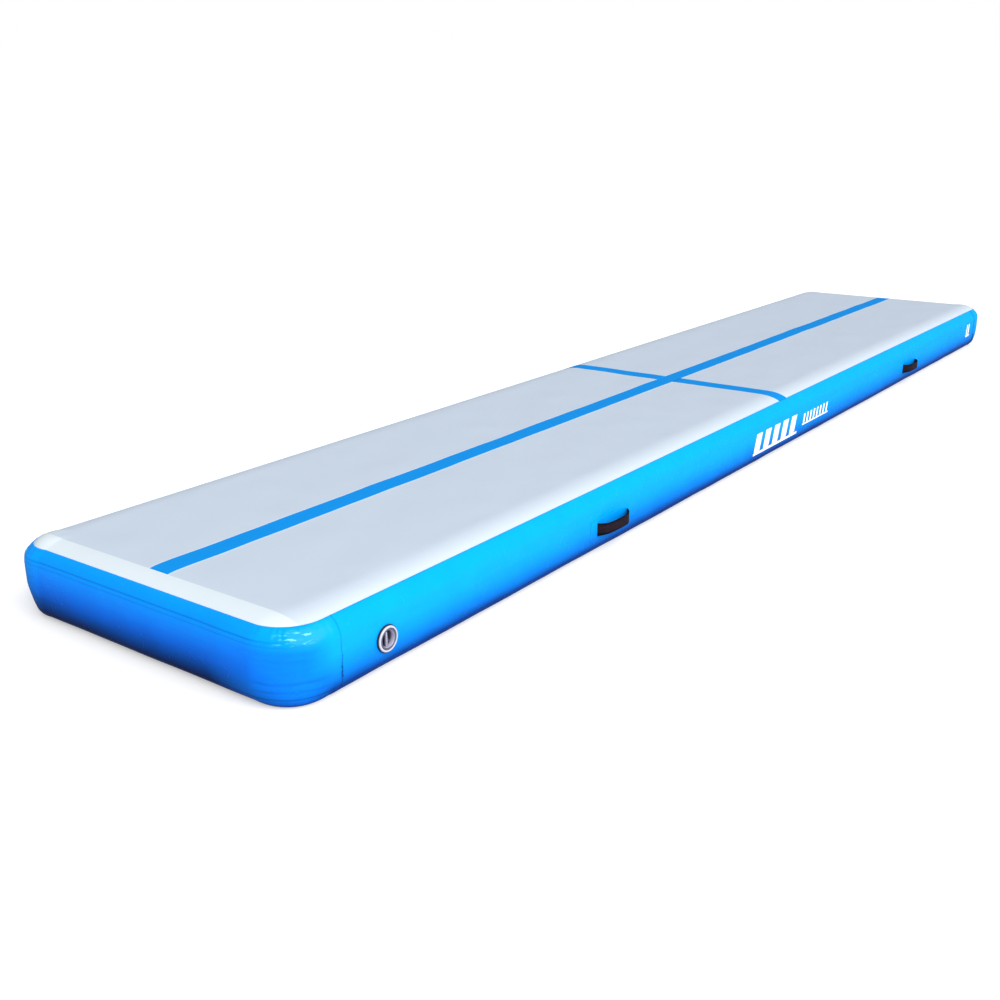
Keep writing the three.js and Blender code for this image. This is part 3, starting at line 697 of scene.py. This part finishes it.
def top_inset(x, y):
    """How far in from the wall a place on the top lies."""
    over_x, over_y = np.abs(x) - (HALF_L - CORNER), np.abs(y) - (HALF_W - CORNER)
    in_corner = (over_x > 0) & (over_y > 0)
    straight = np.minimum(HALF_L - np.abs(x), HALF_W - np.abs(y))
    round_inset = (CORNER - np.hypot(over_x, over_y)) / (1 - fullness(x, y))
    return np.where(in_corner, np.minimum(round_inset, CORNER), straight)


def top_height(x, y):
    part = EDGE_HEIGHT >= THICKNESS - TOP_ROLL[1]
    inset, height = EDGE_INSET[part][::-1], EDGE_HEIGHT[part][::-1]
    return np.interp(top_inset(x, y), inset, height) + top_relief(x, y)


def middle_border(xs, ys, turn):
    """The border of the top's middle and the way out from each of its points, with a fan at each corner."""
    base, out = [], []
    sides = ([(x, ys[0]) for x in xs], [(xs[-1], y) for y in ys],
             [(x, ys[-1]) for x in xs[::-1]], [(xs[0], y) for y in ys[::-1]])
    for step, side in enumerate(sides):
        quarter = (step - 1) * np.pi / 2
        straight_out = (round(math.cos(quarter)), round(math.sin(quarter)))
        base += side + [side[-1]] * len(turn)
        out += [straight_out] * len(side) + [(math.cos(quarter + a), math.sin(quarter + a)) for a in turn]
    return np.array(base), np.array(out, float)


def build_top_skin():
    """The landing face: a grid over the middle, and rings from the middle's border down to the walls' lap."""
    spacing = 16 * MM
    xs = np.linspace(-HALF_L + CORNER, HALF_L - CORNER, int((LENGTH - 2 * CORNER) / spacing))
    ys = np.linspace(-HALF_W + CORNER, HALF_W - CORNER, int((WIDTH - 2 * CORNER) / spacing))
    grid_x, grid_y = np.meshgrid(xs, ys, indexing="ij")
    middle = np.stack([grid_x, grid_y, top_height(grid_x, grid_y)], -1)
    base, out = middle_border(xs, ys, np.linspace(0, np.pi / 2, 13))
    inset, height, _, _ = profile(np.linspace(along_at(TOP_LAP - TUCK, True), 0, 22))
    tight = 1 - fullness(*(base + out * CORNER).T)[:, None]
    places = [base + out * (CORNER - i * tight) for i in inset]
    heights = [np.full(len(base), h) + top_relief(*place.T) for h, place in zip(height, places)]
    places = places[:1] + places + [base]
    heights = [heights[0] - SKIN] + heights + [top_height(*base.T)]
    rings = [np.concatenate([place, h[:, None]], 1) for place, h in zip(places, heights)]
    vertices = np.concatenate([middle.reshape(-1, 3)] + rings)
    faces = grid_faces(len(xs), len(ys), flip=True)
    faces += grid_faces(len(rings), len(base), start=len(xs) * len(ys), closed=True)
    skin = finish_mesh("landing_face", vertices, faces, look["top_face"])
    install(skin, "top_face", MAT, "top_cover_sheet")


# heights on the wall where the edge of a sheet beneath shows through, with the bead beside it
UPPER_STEP, LOWER_STEP = (168.5 * MM, 172.5 * MM), (29 * MM, 24 * MM)
UPPER_BEAD, LOWER_BEAD = 165 * MM, 33 * MM
LAP_HEIGHT, FLOOR_FOLD = 176 * MM, 14 * MM  # where the cloth is gathered, at the top and near the floor
PUCKER_PITCH = 27 * MM


def corner_relief(height, run, seed):
    """Puckers beside the lap and the floor, and two level creases, where the cloth goes round a corner."""
    pucker = np.sin(2 * np.pi * (run / PUCKER_PITCH) + 2.2 * waves(run, height, seed + 2, 0.05, 0.2))
    near_lap = np.exp(-np.clip(LAP_HEIGHT - height, 0, 1) / (16 * MM))
    near_floor = np.exp(-np.clip(height - FLOOR_FOLD, 0, 1) / (14 * MM)) * ramp(height, 6 * MM, 18 * MM)
    broken = 0.6 + 0.5 * waves(run, height, seed + 4, 0.04, 0.12)
    upper_crease = ridge(height, 62 * MM + 2 * MM * np.sin(run * 31), 4 * MM)
    lower_crease = ridge(height, 44 * MM, 3 * MM)
    return 0.7 * pucker * (near_lap + 0.4 * near_floor) - 1.1 * broken * (upper_crease + 0.7 * lower_crease)


def wall_relief(height, run, corner, seam_gap, seed):
    """How far the wall stands out from its smooth shape: sheet edges showing through, puckers and creases."""
    covered = ramp(height, *UPPER_STEP) + ramp(height, *LOWER_STEP)
    bead = ridge(height, UPPER_BEAD, 1.6 * MM) + 0.7 * ridge(height, LOWER_BEAD, 1.8 * MM)
    slow = waves(run, height * 0.6, seed, 0.09, 0.6)
    lower = waves(run * 0.8 + height * 1.4, height * 2.2, seed + 1, 0.07, 0.22)
    lower = lower * ridge(height, 48 * MM, 26 * MM)
    at_seam = np.exp(-seam_gap / (14 * MM)) * ridge(height, 84 * MM, 60 * MM)
    folds = waves(run * 2.2, height, seed + 3, 0.02, 0.06) * at_seam
    return MM * (0.75 * covered + 0.35 * bead + 0.4 * slow + 0.45 * lower
                 + corner * corner_relief(height, run, seed) + 0.5 * folds)


def wall_points(places, lift, corner, seam_gap, seed):
    """The wall as a grid, from its lap on the top down to its lap beneath, with both edges tucked in."""
    x, y, out_x, out_y, run = places
    start, end = along_at(TOP_LAP, True), along_at(BOTTOM_LAP, False)
    along = np.concatenate([[start], np.linspace(start, end, 74), [end]])
    inset, height, out, up = [v[:, None] for v in profile(along)]
    along = along[:, None]
    tuck_in = np.zeros((len(along), 1))
    tuck_in[0], tuck_in[-1] = 1.3 * MM, SKIN
    stand = wall_relief(height, run[None, :], corner[None, :], seam_gap[None, :], seed) + lift[None, :]
    fade = ramp(along, start - 1 * MM, start + 8 * MM) * ramp(along, end + 1 * MM, end - 10 * MM)
    over_top = 1.5 * MM * ramp(along, start + 16 * MM, start)
    away = stand * fade + over_top - tuck_in
    full = fullness(x, y)
    swell = 26 * MM * full * ramp(height, 25 * MM, 95 * MM) * ramp(height, 186 * MM, 160 * MM)
    pulled = np.where(height > THICKNESS / 2, full, fullness(x, y, FOOT_FULLNESS))
    reach = away * out - inset * (1 - pulled) + swell
    points = np.stack([x + out_x * reach, y + out_y * reach, height + away * up + 0 * x], -1)
    points[..., 2] = np.maximum(points[..., 2], 0.0)
    return points


END_LAP = 12 * MM  # how far an end piece reaches over the long walls


def build_end_wall(name, sign, seed):
    """An end piece of the wall, which goes round two corners and lies over the ends of the long walls."""
    places = end_places(sign, 4 * MM, END_LAP)
    _, _, out_x, out_y, run = places
    seam_gap = np.minimum(run, run[-1] - run)
    lift = 1.1 * MM * ramp(seam_gap, 26 * MM, 16 * MM)
    corner = ramp(2 * np.abs(out_x * out_y), 0, 0.5)
    points = wall_points(places, lift, corner, seam_gap, seed)
    wall = grid_piece(name + "_skin", with_hem(points, (0, 0, 0)), look["blue_wall"], (0, 0, THICKNESS / 2))
    install(wall, "blue_wall", MAT, name)


def cut_round(piece, centre, radius):
    """Takes away the faces that lie wholly within a round opening."""
    work = bmesh.new()
    work.from_mesh(piece.data)
    within = {v for v in work.verts if math.hypot(v.co.x - centre.x, v.co.z - centre.z) < radius}
    inside = [face for face in work.faces if within.issuperset(face.verts)]
    bmesh.ops.delete(work, geom=inside, context="FACES")
    work.to_mesh(piece.data)
    work.free()


def build_side_wall(name, sign, seed):
    """A long wall, with the valve's hole in the one on the valve's side."""
    places = side_places(sign, 6 * MM)
    run = places[-1]
    seam_gap = np.minimum(run, run[-1] - run)
    nothing = np.zeros(len(run))
    points = wall_points(places, nothing, nothing, seam_gap, seed)
    wall = grid_piece(name + "_skin", points, look["blue_wall"], (0, 0, THICKNESS / 2))
    if sign < 0:
        cut_round(wall, VALVE_CENTRE, VALVE_RIM - 1 * MM)
    install(wall, "blue_wall", MAT, name)


def top_piece(name, grid_x, grid_y, material, slot):
    """A strip of tape or cloth laid on the landing face."""
    lift = STRIPE_TOP - THICKNESS
    points = np.stack([grid_x, grid_y, top_height(grid_x, grid_y) + lift], -1)
    piece = grid_piece(name + "_tape", with_hem(points, (0, 0, -lift + 0.1 * MM)), material, (0, 0, 0))
    install(piece, slot, MAT, name)


def edge_steps(first, last, count, inside=0.4 * MM):
    """Even steps, with one more close to each end so that shading turns only at the very edge."""
    steps = np.linspace(first, last, count)
    lean = inside if last > first else -inside
    return np.sort(np.concatenate([steps, [first + lean, last - lean]]))


def build_end_tape(name, sign):
    """White tape across an end: straight inner edge, outer edge just beneath the wall's lap."""
    centre_x, centre_y = HALF_L - CORNER, HALF_W - CORNER
    arc_steps, straight_steps = np.ones(40), np.linspace(1, -1, 90)
    arc = np.linspace(math.acos((END_TAPE_X - centre_x) / (CORNER - TOP_LAP + TUCK)), 0, len(arc_steps))
    turn = np.concatenate([arc, 0 * straight_steps, -arc[::-1]])
    middle = np.concatenate([arc_steps, straight_steps, -arc_steps]) * centre_y
    rim_x, rim_y = centre_x + CORNER * np.cos(turn), middle + CORNER * np.sin(turn)
    reach = CORNER - (TOP_LAP - TUCK) * (1 - fullness(sign * rim_x, rim_y))
    far, y = centre_x + reach * np.cos(turn), middle + reach * np.sin(turn)
    share = edge_steps(0, 1, 14, 0.005)[:, None]
    grid_x = sign * (END_TAPE_X + (far - END_TAPE_X)[None, :] * share)
    top_piece(name, grid_x, np.repeat(y[None, :], len(share), 0), look["white_tape"], "white_tape")


def build_stripes():
    x = np.linspace(-END_TAPE_X + PIECE_GAP, END_TAPE_X - PIECE_GAP, 420)
    y = edge_steps(-STRIPE_HALF, STRIPE_HALF, 7)
    top_piece("centre_stripe", *np.meshgrid(x, y, indexing="ij"), look["blue_tape"], "blue_tape")
    for side, sign in (("valve", -1), ("plain", 1)):
        x = edge_steps(-CROSS_HALF, CROSS_HALF, 7)
        y = sign * np.linspace(STRIPE_HALF + PIECE_GAP, HALF_W - TOP_LAP + TUCK, 60)
        grid = np.meshgrid(x, y, indexing="ij")
        top_piece(f"cross_stripe_{side}_side", *grid, look["blue_tape"], "blue_tape")


# ---------------- print on the wall

PRINT_STAND, PRINT_THICK = 0.85 * MM, 0.6 * MM  # how far the ink stands off the wall, and its thickness


def wall_face(height):
    """Inset of the wall at a height on its straight and lower part."""
    part = EDGE_HEIGHT <= THICKNESS - 20 * MM
    return np.interp(height, EDGE_HEIGHT[part][::-1], EDGE_INSET[part][::-1])


def bar_patch(corners, rows=8):
    """A four-sided mark laid on the valve-side wall, from its low edge to its high edge."""
    (x0, z0), (x1, _), (x2, z1), (x3, _) = corners
    share = np.linspace(0, 1, rows)[:, None]
    left, right = x0 + (x3 - x0) * share, x1 + (x2 - x1) * share
    across = np.linspace(0, 1, max(3, int(abs(x1 - x0) / (12 * MM))))[None, :]
    grid_x = left + (right - left) * across
    grid_z = (z0 + (z1 - z0) * share) + 0 * across
    grid_y = -HALF_W + wall_face(grid_z) - PRINT_STAND
    return with_hem(np.stack([grid_x, grid_y, grid_z], -1), (0, PRINT_THICK, 0))


def build_print(node, bars, boldness):
    """A plain mark in place of print: a row of slanted bars on a line."""
    low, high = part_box(node)
    pitch, height = (high.x - low.x) / bars, high.z - low.z
    line, slant = height * 0.12, pitch * 0.3
    bar_width = (pitch - slant) * boldness
    marks = [bar_patch([(low.x, low.z), (high.x, low.z), (high.x, low.z + line), (low.x, low.z + line)], 3)]
    for bar in range(bars):
        start = low.x + bar * pitch + (pitch - bar_width - slant) / 2
        foot, head = low.z + line, high.z
        marks.append(bar_patch([(start, foot), (start + bar_width, foot),
                                (start + bar_width + slant, head), (start + slant, head)]))
    vertices, faces = [], []
    for mark in marks:
        faces += grid_faces(*mark.shape[:2], start=len(vertices), flip=False)
        vertices += list(mark.reshape(-1, 3))
    piece = finish_mesh(node + "_ink", vertices, faces, look["white_print"])
    install(piece, "white_print", MAT, node)


# ---------------- carry straps

STRAP_SPAN = 82.5 * MM  # from the middle of a strap to where it leaves its patch
STRAP_BULGE = 28 * MM  # how far its middle stands off the wall
STRAP_THICK = 1.6 * MM
STRAP_WIDTH, END_FLARE = 33 * MM, 6 * MM  # width in the middle, and how much wider it is at its ends
STRAP_RISE = 3 * MM  # how much higher its middle is than its ends
STRAP_TAB = 22 * MM  # the length at each end that lies beneath the patch
TAB_STEPS = 8
HALF_BOW = [(0, 0), (0.06, 0.2), (0.19, 0.6), (0.47, 0.92)]  # shares of the span and the bulge


def strap_centreline(count=120, smoothing=60):
    """Middle line of the webbing, with its flat ends: distance along the wall and out from it."""
    knots = HALF_BOW + [(1, 1)] + [(2 - share, out) for share, out in HALF_BOW[::-1]]
    knot_along, knot_out = (np.array(knots, float) * (STRAP_SPAN, STRAP_BULGE)).T
    run = np.concatenate([[0], np.cumsum(np.hypot(np.diff(knot_along), np.diff(knot_out)))])
    even = np.linspace(0, run[-1], count)
    along, out = np.interp(even, run, knot_along - STRAP_SPAN), np.interp(even, run, knot_out)
    for line in (along, out):
        for _ in range(smoothing):
            line[1:-1] = (line[:-2] + 2 * line[1:-1] + line[2:]) / 4
    tab = np.linspace(STRAP_TAB, STRAP_TAB / TAB_STEPS, TAB_STEPS)
    along = np.concatenate([along[0] - tab, along, along[-1] + tab[::-1]])
    out = np.concatenate([0 * tab, out, 0 * tab]) + PIECE_GAP + STRAP_THICK / 2
    return along, out


def strap_surface(first, last):
    """Closed skin of the webbing between two places along the wall: rings of points in the handle's frame."""
    along, out = strap_centreline()
    tangent = np.stack([np.gradient(along), np.gradient(out)], -1)
    tangent /= np.linalg.norm(tangent, axis=1)[:, None]
    keep = (along >= first - 0.001 * MM) & (along <= last + 0.001 * MM)
    edge_share = np.clip(np.abs(along) / STRAP_SPAN, 0, 1)
    width = STRAP_WIDTH + END_FLARE * edge_share ** 5
    rise = STRAP_RISE * (1 - edge_share ** 2)
    across = np.linspace(-1, 1, 25)
    edge_round = np.sqrt(np.clip(1 - np.abs(across) ** 14, 0, 1))
    rows = []
    for at, stand, (tx, ty), wide, up in zip(along[keep], out[keep], tangent[keep], width[keep], rise[keep]):
        front, back = [], []
        for place, thick in zip(across, edge_round):
            rib = 1 + 0.10 * math.cos(place * math.pi * 9)
            half = STRAP_THICK / 2 * thick * rib
            height = up + place * wide / 2
            front.append((at - ty * half, stand + tx * half, height))
            back.append((at + ty * half, stand - tx * half, height))
        rows.append(front + back[::-1])
    return np.array(rows)


def handle_to_world(points, place, sign):
    """From the handle's own frame (along, out, up) to the row frame."""
    moved = np.stack([points[..., 0], sign * (HALF_W + points[..., 1]), points[..., 2]], -1)
    return moved + np.array([place.x, 0, place.z])


def strap_piece(name, first, last, place, sign):
    """One stretch of a strap's webbing, between two places along the wall."""
    points = handle_to_world(strap_surface(first, last), place, sign)
    return grid_piece(name, points, look["webbing"], place, closed=True)


def build_handle(label, sign):
    """A strap: its middle swings, and its two ends are fixed curves between the wall and the middle."""
    low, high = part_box(f"{label}_handle_strap")
    place = Vector(((low.x + high.x) / 2, 0, (low.z + high.z) / 2))
    body = f"{label}_handle"
    split = (high.x - low.x) / 2
    overlap, end_reach = 2 * MM, STRAP_SPAN + STRAP_TAB
    middle = strap_piece(f"{label}_webbing", -split, split, place, sign)
    install(middle, "webbing", body, f"{label}_handle_strap")
    for end, side in (("near", -1), ("far", 1)):
        first, last = sorted((side * end_reach, side * (split - overlap)))
        piece = strap_piece(f"{label}_webbing_{end}_end", first, last, place, sign)
        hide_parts(f"{label}_handle_{end}_strap_end")
        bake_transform(piece)
    build_patch(label, place, sign)


def build_patch(label, place, sign):
    """The cloth patch that holds both ends of the webbing, raised where it covers them."""
    low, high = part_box(f"{label}_handle_patch")
    half_x, half_z, corner = (high.x - low.x) / 2, (high.z - low.z) / 2, 9 * MM
    along, up = half_x * np.linspace(-1, 1, 110), half_z * np.linspace(-1, 1, 44)
    grid_x, grid_z = np.meshgrid(along, up, indexing="ij")
    squeeze = np.clip(np.abs(grid_z) - (half_z - corner), 0, corner)
    grid_x = grid_x * (half_x - corner + np.sqrt(corner ** 2 - squeeze ** 2)) / half_x
    off_middle, off_centre, tab_end = np.abs(grid_x), np.abs(grid_z), STRAP_SPAN + STRAP_TAB
    over_tab = ramp(off_middle, STRAP_SPAN - 1 * MM, STRAP_SPAN + 1.5 * MM)
    over_tab = over_tab * ramp(off_middle, tab_end + 5 * MM, tab_end + 1 * MM)
    over_tab = over_tab * ramp(off_centre, 24 * MM, 19 * MM)
    inside_rim = ramp(half_x - off_middle, 0, 2 * MM) * ramp(half_z - off_centre, 0, 2 * MM)
    stand = (0.25 + 0.5 * inside_rim + 2.1 * over_tab) * MM
    points = handle_to_world(np.stack([grid_x, stand - wall_face(place.z + grid_z), grid_z], -1), place, sign)
    patch = grid_piece(f"{label}_patch", points, look["blue_wall"], place)
    install(patch, "blue_wall", MAT, f"{label}_handle_patch")


# ---------------- valve

BARREL, BORE = 25 * MM, 22 * MM  # outer and inner radius of the tube behind the flange
SEAT = -3 * MM  # bottom of the flange's recess, from the wall
FLANGE_BACK = -2.1 * MM
DISH_FLOOR = 8 * MM
CAP_OUTER, CAP_INNER, CAP_EDGE = 21.3 * MM, 19.6 * MM, 25 * MM  # radii of the dish's wall and of its rim
CAP_TOP = -7.3 * MM
CAP_BACK = -4.8 * MM  # underside of the cap's rim


def build_flange():
    """The pale flange, with the recess for the cap and the tube behind."""
    outline = rounded_outline([
        (BORE - 2 * MM, VALVE_FOOT), (BORE, VALVE_FOOT - 3 * MM), (BORE, SEAT + 2 * MM),
        (BORE + 0.6 * MM, SEAT), (RECESS, SEAT), (RECESS + 0.2 * MM, VALVE_FACE + 0.8 * MM),
        (RECESS + 1 * MM, VALVE_FACE), (VALVE_RIM - 1.6 * MM, VALVE_FACE), (VALVE_RIM, VALVE_FACE + 2 * MM),
        (VALVE_RIM, FLANGE_BACK), (BARREL, FLANGE_BACK), (BARREL, VALVE_FOOT), (BORE - 2 * MM, VALVE_FOOT),
    ], 1.1 * MM)
    install(spun("valve_flange", outline, look["flange"], VALVE_CENTRE), "valve_plastic", MAT, "valve_body")


def build_gasket():
    """The dark rubber ring that the flange stands in, with a skirt up the flange's side that is part gasket and
    part painted shade round the flange.
    """
    inner, lip, outer = BARREL + 1.5 * MM, VALVE_RIM + 0.3 * MM, VALVE_RIM + 2 * MM
    top = FLANGE_BACK + 0.3 * MM
    outline = rounded_outline([
        (inner, top), (lip, top), (lip, VALVE_FACE + 2.6 * MM), (lip + 0.9 * MM, VALVE_FACE + 2.4 * MM),
        (outer, VALVE_FACE + 5 * MM), (outer, -PIECE_GAP), (inner, -PIECE_GAP), (inner, top),
    ], 0.5 * MM)
    ring = spun("valve_gasket_ring", outline, look["black_rubber"], VALVE_CENTRE)
    install(ring, "black_rubber", MAT, "valve_gasket")


def build_cap():
    """The dished cap with its grip fin."""
    outline = rounded_outline([
        (0, DISH_FLOOR), (CAP_INNER - 1.4 * MM, DISH_FLOOR), (CAP_INNER - 0.2 * MM, DISH_FLOOR - 1.4 * MM),
        (CAP_INNER, -4.6 * MM), (CAP_INNER + 1.4 * MM, CAP_SHOULDER), (CAP_INNER + 2.4 * MM, CAP_TOP),
        (CAP_EDGE - 0.6 * MM, CAP_TOP), (CAP_EDGE, CAP_SHOULDER), (CAP_EDGE, CAP_BACK),
        (CAP_OUTER + 0.3 * MM, CAP_BACK), (CAP_OUTER, -4.2 * MM),
        (CAP_OUTER, DISH_FLOOR + 1.5 * MM), (0, DISH_FLOOR + 1.5 * MM),
    ], 0.8 * MM)
    cap = spun("valve_dished_cap", outline, look["cap"], VALVE_CENTRE)
    add_fin(cap, CAP_INNER - 0.4 * MM)
    install(cap, "valve_plastic", "valve_cap", "valve_cap")


def build_valve():
    build_flange()
    build_gasket()
    build_cap()


def build_spring():
    """The coil behind the plunger's button."""
    low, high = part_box("valve_spring")
    wire, turns, steps = 0.45 * MM, 4, 24
    radius = (high.x - low.x) / 2 - wire
    share = np.linspace(0, 1, steps * turns + 1)
    share = np.concatenate([share[:1], share, share[-1:]])
    thick = np.full((len(share), 1), wire)
    thick[0] = thick[-1] = 0
    turn = 2 * np.pi * turns * share[:, None]
    around = np.linspace(0, 2 * np.pi, 10, endpoint=False)[None, :]
    reach = radius + thick * np.cos(around)
    along = low.y + wire + (high.y - low.y - 2 * wire) * share[:, None] + thick * np.sin(around)
    x, z = VALVE_CENTRE.x + reach * np.cos(turn), VALVE_CENTRE.z + reach * np.sin(turn)
    points = np.stack([x, along, z], -1)
    faces = grid_faces(*points.shape[:2], closed=True)
    coil = face_out(finish_mesh("valve_coil_spring", points.reshape(-1, 3), faces, look["steel"]))
    install(coil, "steel", MAT, "valve_spring")
    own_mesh(coil)


def add_fin(cap, reach):
    """Joins an upright grip fin across the dish to the cap, with a crowned outline and soft edges."""
    half_thick, top = 2 * MM, -2 * MM
    work = bmesh.new()
    rows = []
    for z in np.linspace(-reach, reach, 25):
        crown = top + 1.6 * MM * abs(z / reach) ** 3
        section = [(1.15, DISH_FLOOR + 0.4 * MM), (0.8, crown + 0.8 * MM), (0.35, crown)]
        section = [(-wide, y) for wide, y in section] + section[::-1]
        rows.append([work.verts.new(VALVE_CENTRE + Vector((wide * half_thick, y, z))) for wide, y in section])
    for row, after in zip(rows, rows[1:]):
        for i in range(len(row)):
            j = (i + 1) % len(row)
            work.faces.new([row[i], row[j], after[j], after[i]])
    work.faces.new(rows[0][::-1])
    work.faces.new(rows[-1])
    bmesh.ops.recalc_face_normals(work, faces=work.faces)
    for face in work.faces:
        face.smooth = True
    work.from_mesh(cap.data)
    work.to_mesh(cap.data)
    work.free()


# ---------------- studio

DOME_LIGHT = 0.7  # strength of the white surroundings as light
DOME_GLOSS = 0.1  # and as a reflection, so that only the lamps show as highlights
SUN_LIGHT = 1.1
FLOOR_GLOW = 0.4  # the floor gives off light as well, which thins the mat's shadow
SUN_HEADING, SUN_SIZE = (0.1, 1, -0.7), 65  # which way the sunlight goes, and its size in degrees
SOFTBOX_PLACE, SOFTBOX_TARGET = (-4.4, -3.4, 2.6), (-2.4, -0.4, 0.1)
SOFTBOX_SIZE, SOFTBOX_POWER = (0.3, 0.1), 30


def build_floor():
    make = Nodes("pale_floor")
    colour = make.shade((0.62, 0.625, 0.63), make.vary(0.995, 1.005, 2.0, 2.0))
    material = make.finish(colour, make.vary(0.7, 0.8, 4.0, 2.0), Specular_IOR_Level=0.1,
                           Emission_Color=(1, 1, 1, 1), Emission_Strength=FLOOR_GLOW)
    reach = 16 * LENGTH
    vertices = [(-reach, -reach, 0), (reach, -reach, 0), (reach, reach, 0), (-reach, reach, 0)]
    floor = finish_mesh("studio_floor", vertices, [(0, 1, 2, 3)], material, smooth=False)
    floor.visible_glossy = False


def add_light(name, kind, heading, power):
    """A lamp that shines along a heading."""
    data = bpy.data.lights.new(name, kind)
    data.energy = power
    lamp = bpy.data.objects.new(name, data)
    lamp.rotation_euler = Vector(heading).to_track_quat("-Z", "Y").to_euler()
    bpy.context.collection.objects.link(lamp)
    return lamp


def build_lamps():
    """A broad sun, and a small softbox that lights the corner by the valve."""
    sun = add_light("key_light", "SUN", SUN_HEADING, SUN_LIGHT * math.pi)
    sun.data.angle = math.radians(SUN_SIZE)
    heading = Vector(SOFTBOX_TARGET) - Vector(SOFTBOX_PLACE)
    softbox = add_light("corner_softbox", "AREA", heading, SOFTBOX_POWER)
    softbox.location = SOFTBOX_PLACE
    softbox.data.shape = "RECTANGLE"
    softbox.data.size, softbox.data.size_y = SOFTBOX_SIZE


def build_world():
    """White surroundings, which are brighter to the camera and darker as a reflection than as light."""
    world = bpy.data.worlds.new("white_studio")
    world.use_nodes = True
    tree = world.node_tree
    tree.nodes["Background"].inputs["Color"].default_value = (1, 1, 1, 1)
    rays = tree.nodes.new("ShaderNodeLightPath")
    strength = DOME_LIGHT
    for ray, change in (("Is Camera Ray", 1.0 - DOME_LIGHT), ("Is Glossy Ray", DOME_GLOSS - DOME_LIGHT)):
        node = tree.nodes.new("ShaderNodeMath")
        node.operation = "MULTIPLY_ADD"
        tree.links.new(rays.outputs[ray], node.inputs[0])
        node.inputs[1].default_value = change
        if isinstance(strength, float):
            node.inputs[2].default_value = strength
        else:
            tree.links.new(strength, node.inputs[2])
        strength = node.outputs[0]
    tree.links.new(strength, tree.nodes["Background"].inputs["Strength"])
    world.cycles.sampling_method = "NONE"
    bpy.context.scene.world = world
    bpy.context.scene.view_settings.view_transform = "Standard"


def build_camera():
    yaw, pitch, roll = (math.radians(a) for a in (CAMERA_YAW, CAMERA_PITCH, CAMERA_ROLL))
    forward = Vector((math.cos(yaw) * math.cos(pitch), math.sin(yaw) * math.cos(pitch), -math.sin(pitch)))
    level = Vector((math.sin(yaw), -math.cos(yaw), 0))
    upright = level.cross(forward)
    right = level * math.cos(roll) + upright * math.sin(roll)
    up = upright * math.cos(roll) - level * math.sin(roll)
    data = bpy.data.cameras.new("photo_camera")
    data.sensor_width = 36
    data.lens = CAMERA_LENS
    data.clip_end = 40 * LENGTH
    camera = bpy.data.objects.new("photo_camera", data)
    turn = Matrix((right, up, -forward)).transposed()
    camera.matrix_world = Matrix.Translation(CAMERA_PLACE) @ turn.to_4x4()
    bpy.context.collection.objects.link(camera)
    bpy.context.scene.camera = camera


repaint_frame()
build_camera()
build_floor()
build_lamps()
build_world()
build_top_skin()
build_end_wall("near_end_wall", -1, 21)
build_end_wall("far_end_wall", 1, 31)
build_side_wall("valve_side_wall", -1, 41)
build_side_wall("plain_side_wall", 1, 51)
build_end_tape("near_end_tape", -1)
build_end_tape("far_end_tape", 1)
build_stripes()
build_print("side_print_bold", 5, 0.85)
build_print("side_print_fine", 8, 0.55)
build_print("side_print_end", 2, 0.6)
for handle_side, handle_sign in (("valve_side", -1), ("plain_side", 1)):
    for handle_end in ("near", "far"):
        build_handle(f"{handle_side}_{handle_end}", handle_sign)
build_valve()
build_spring()
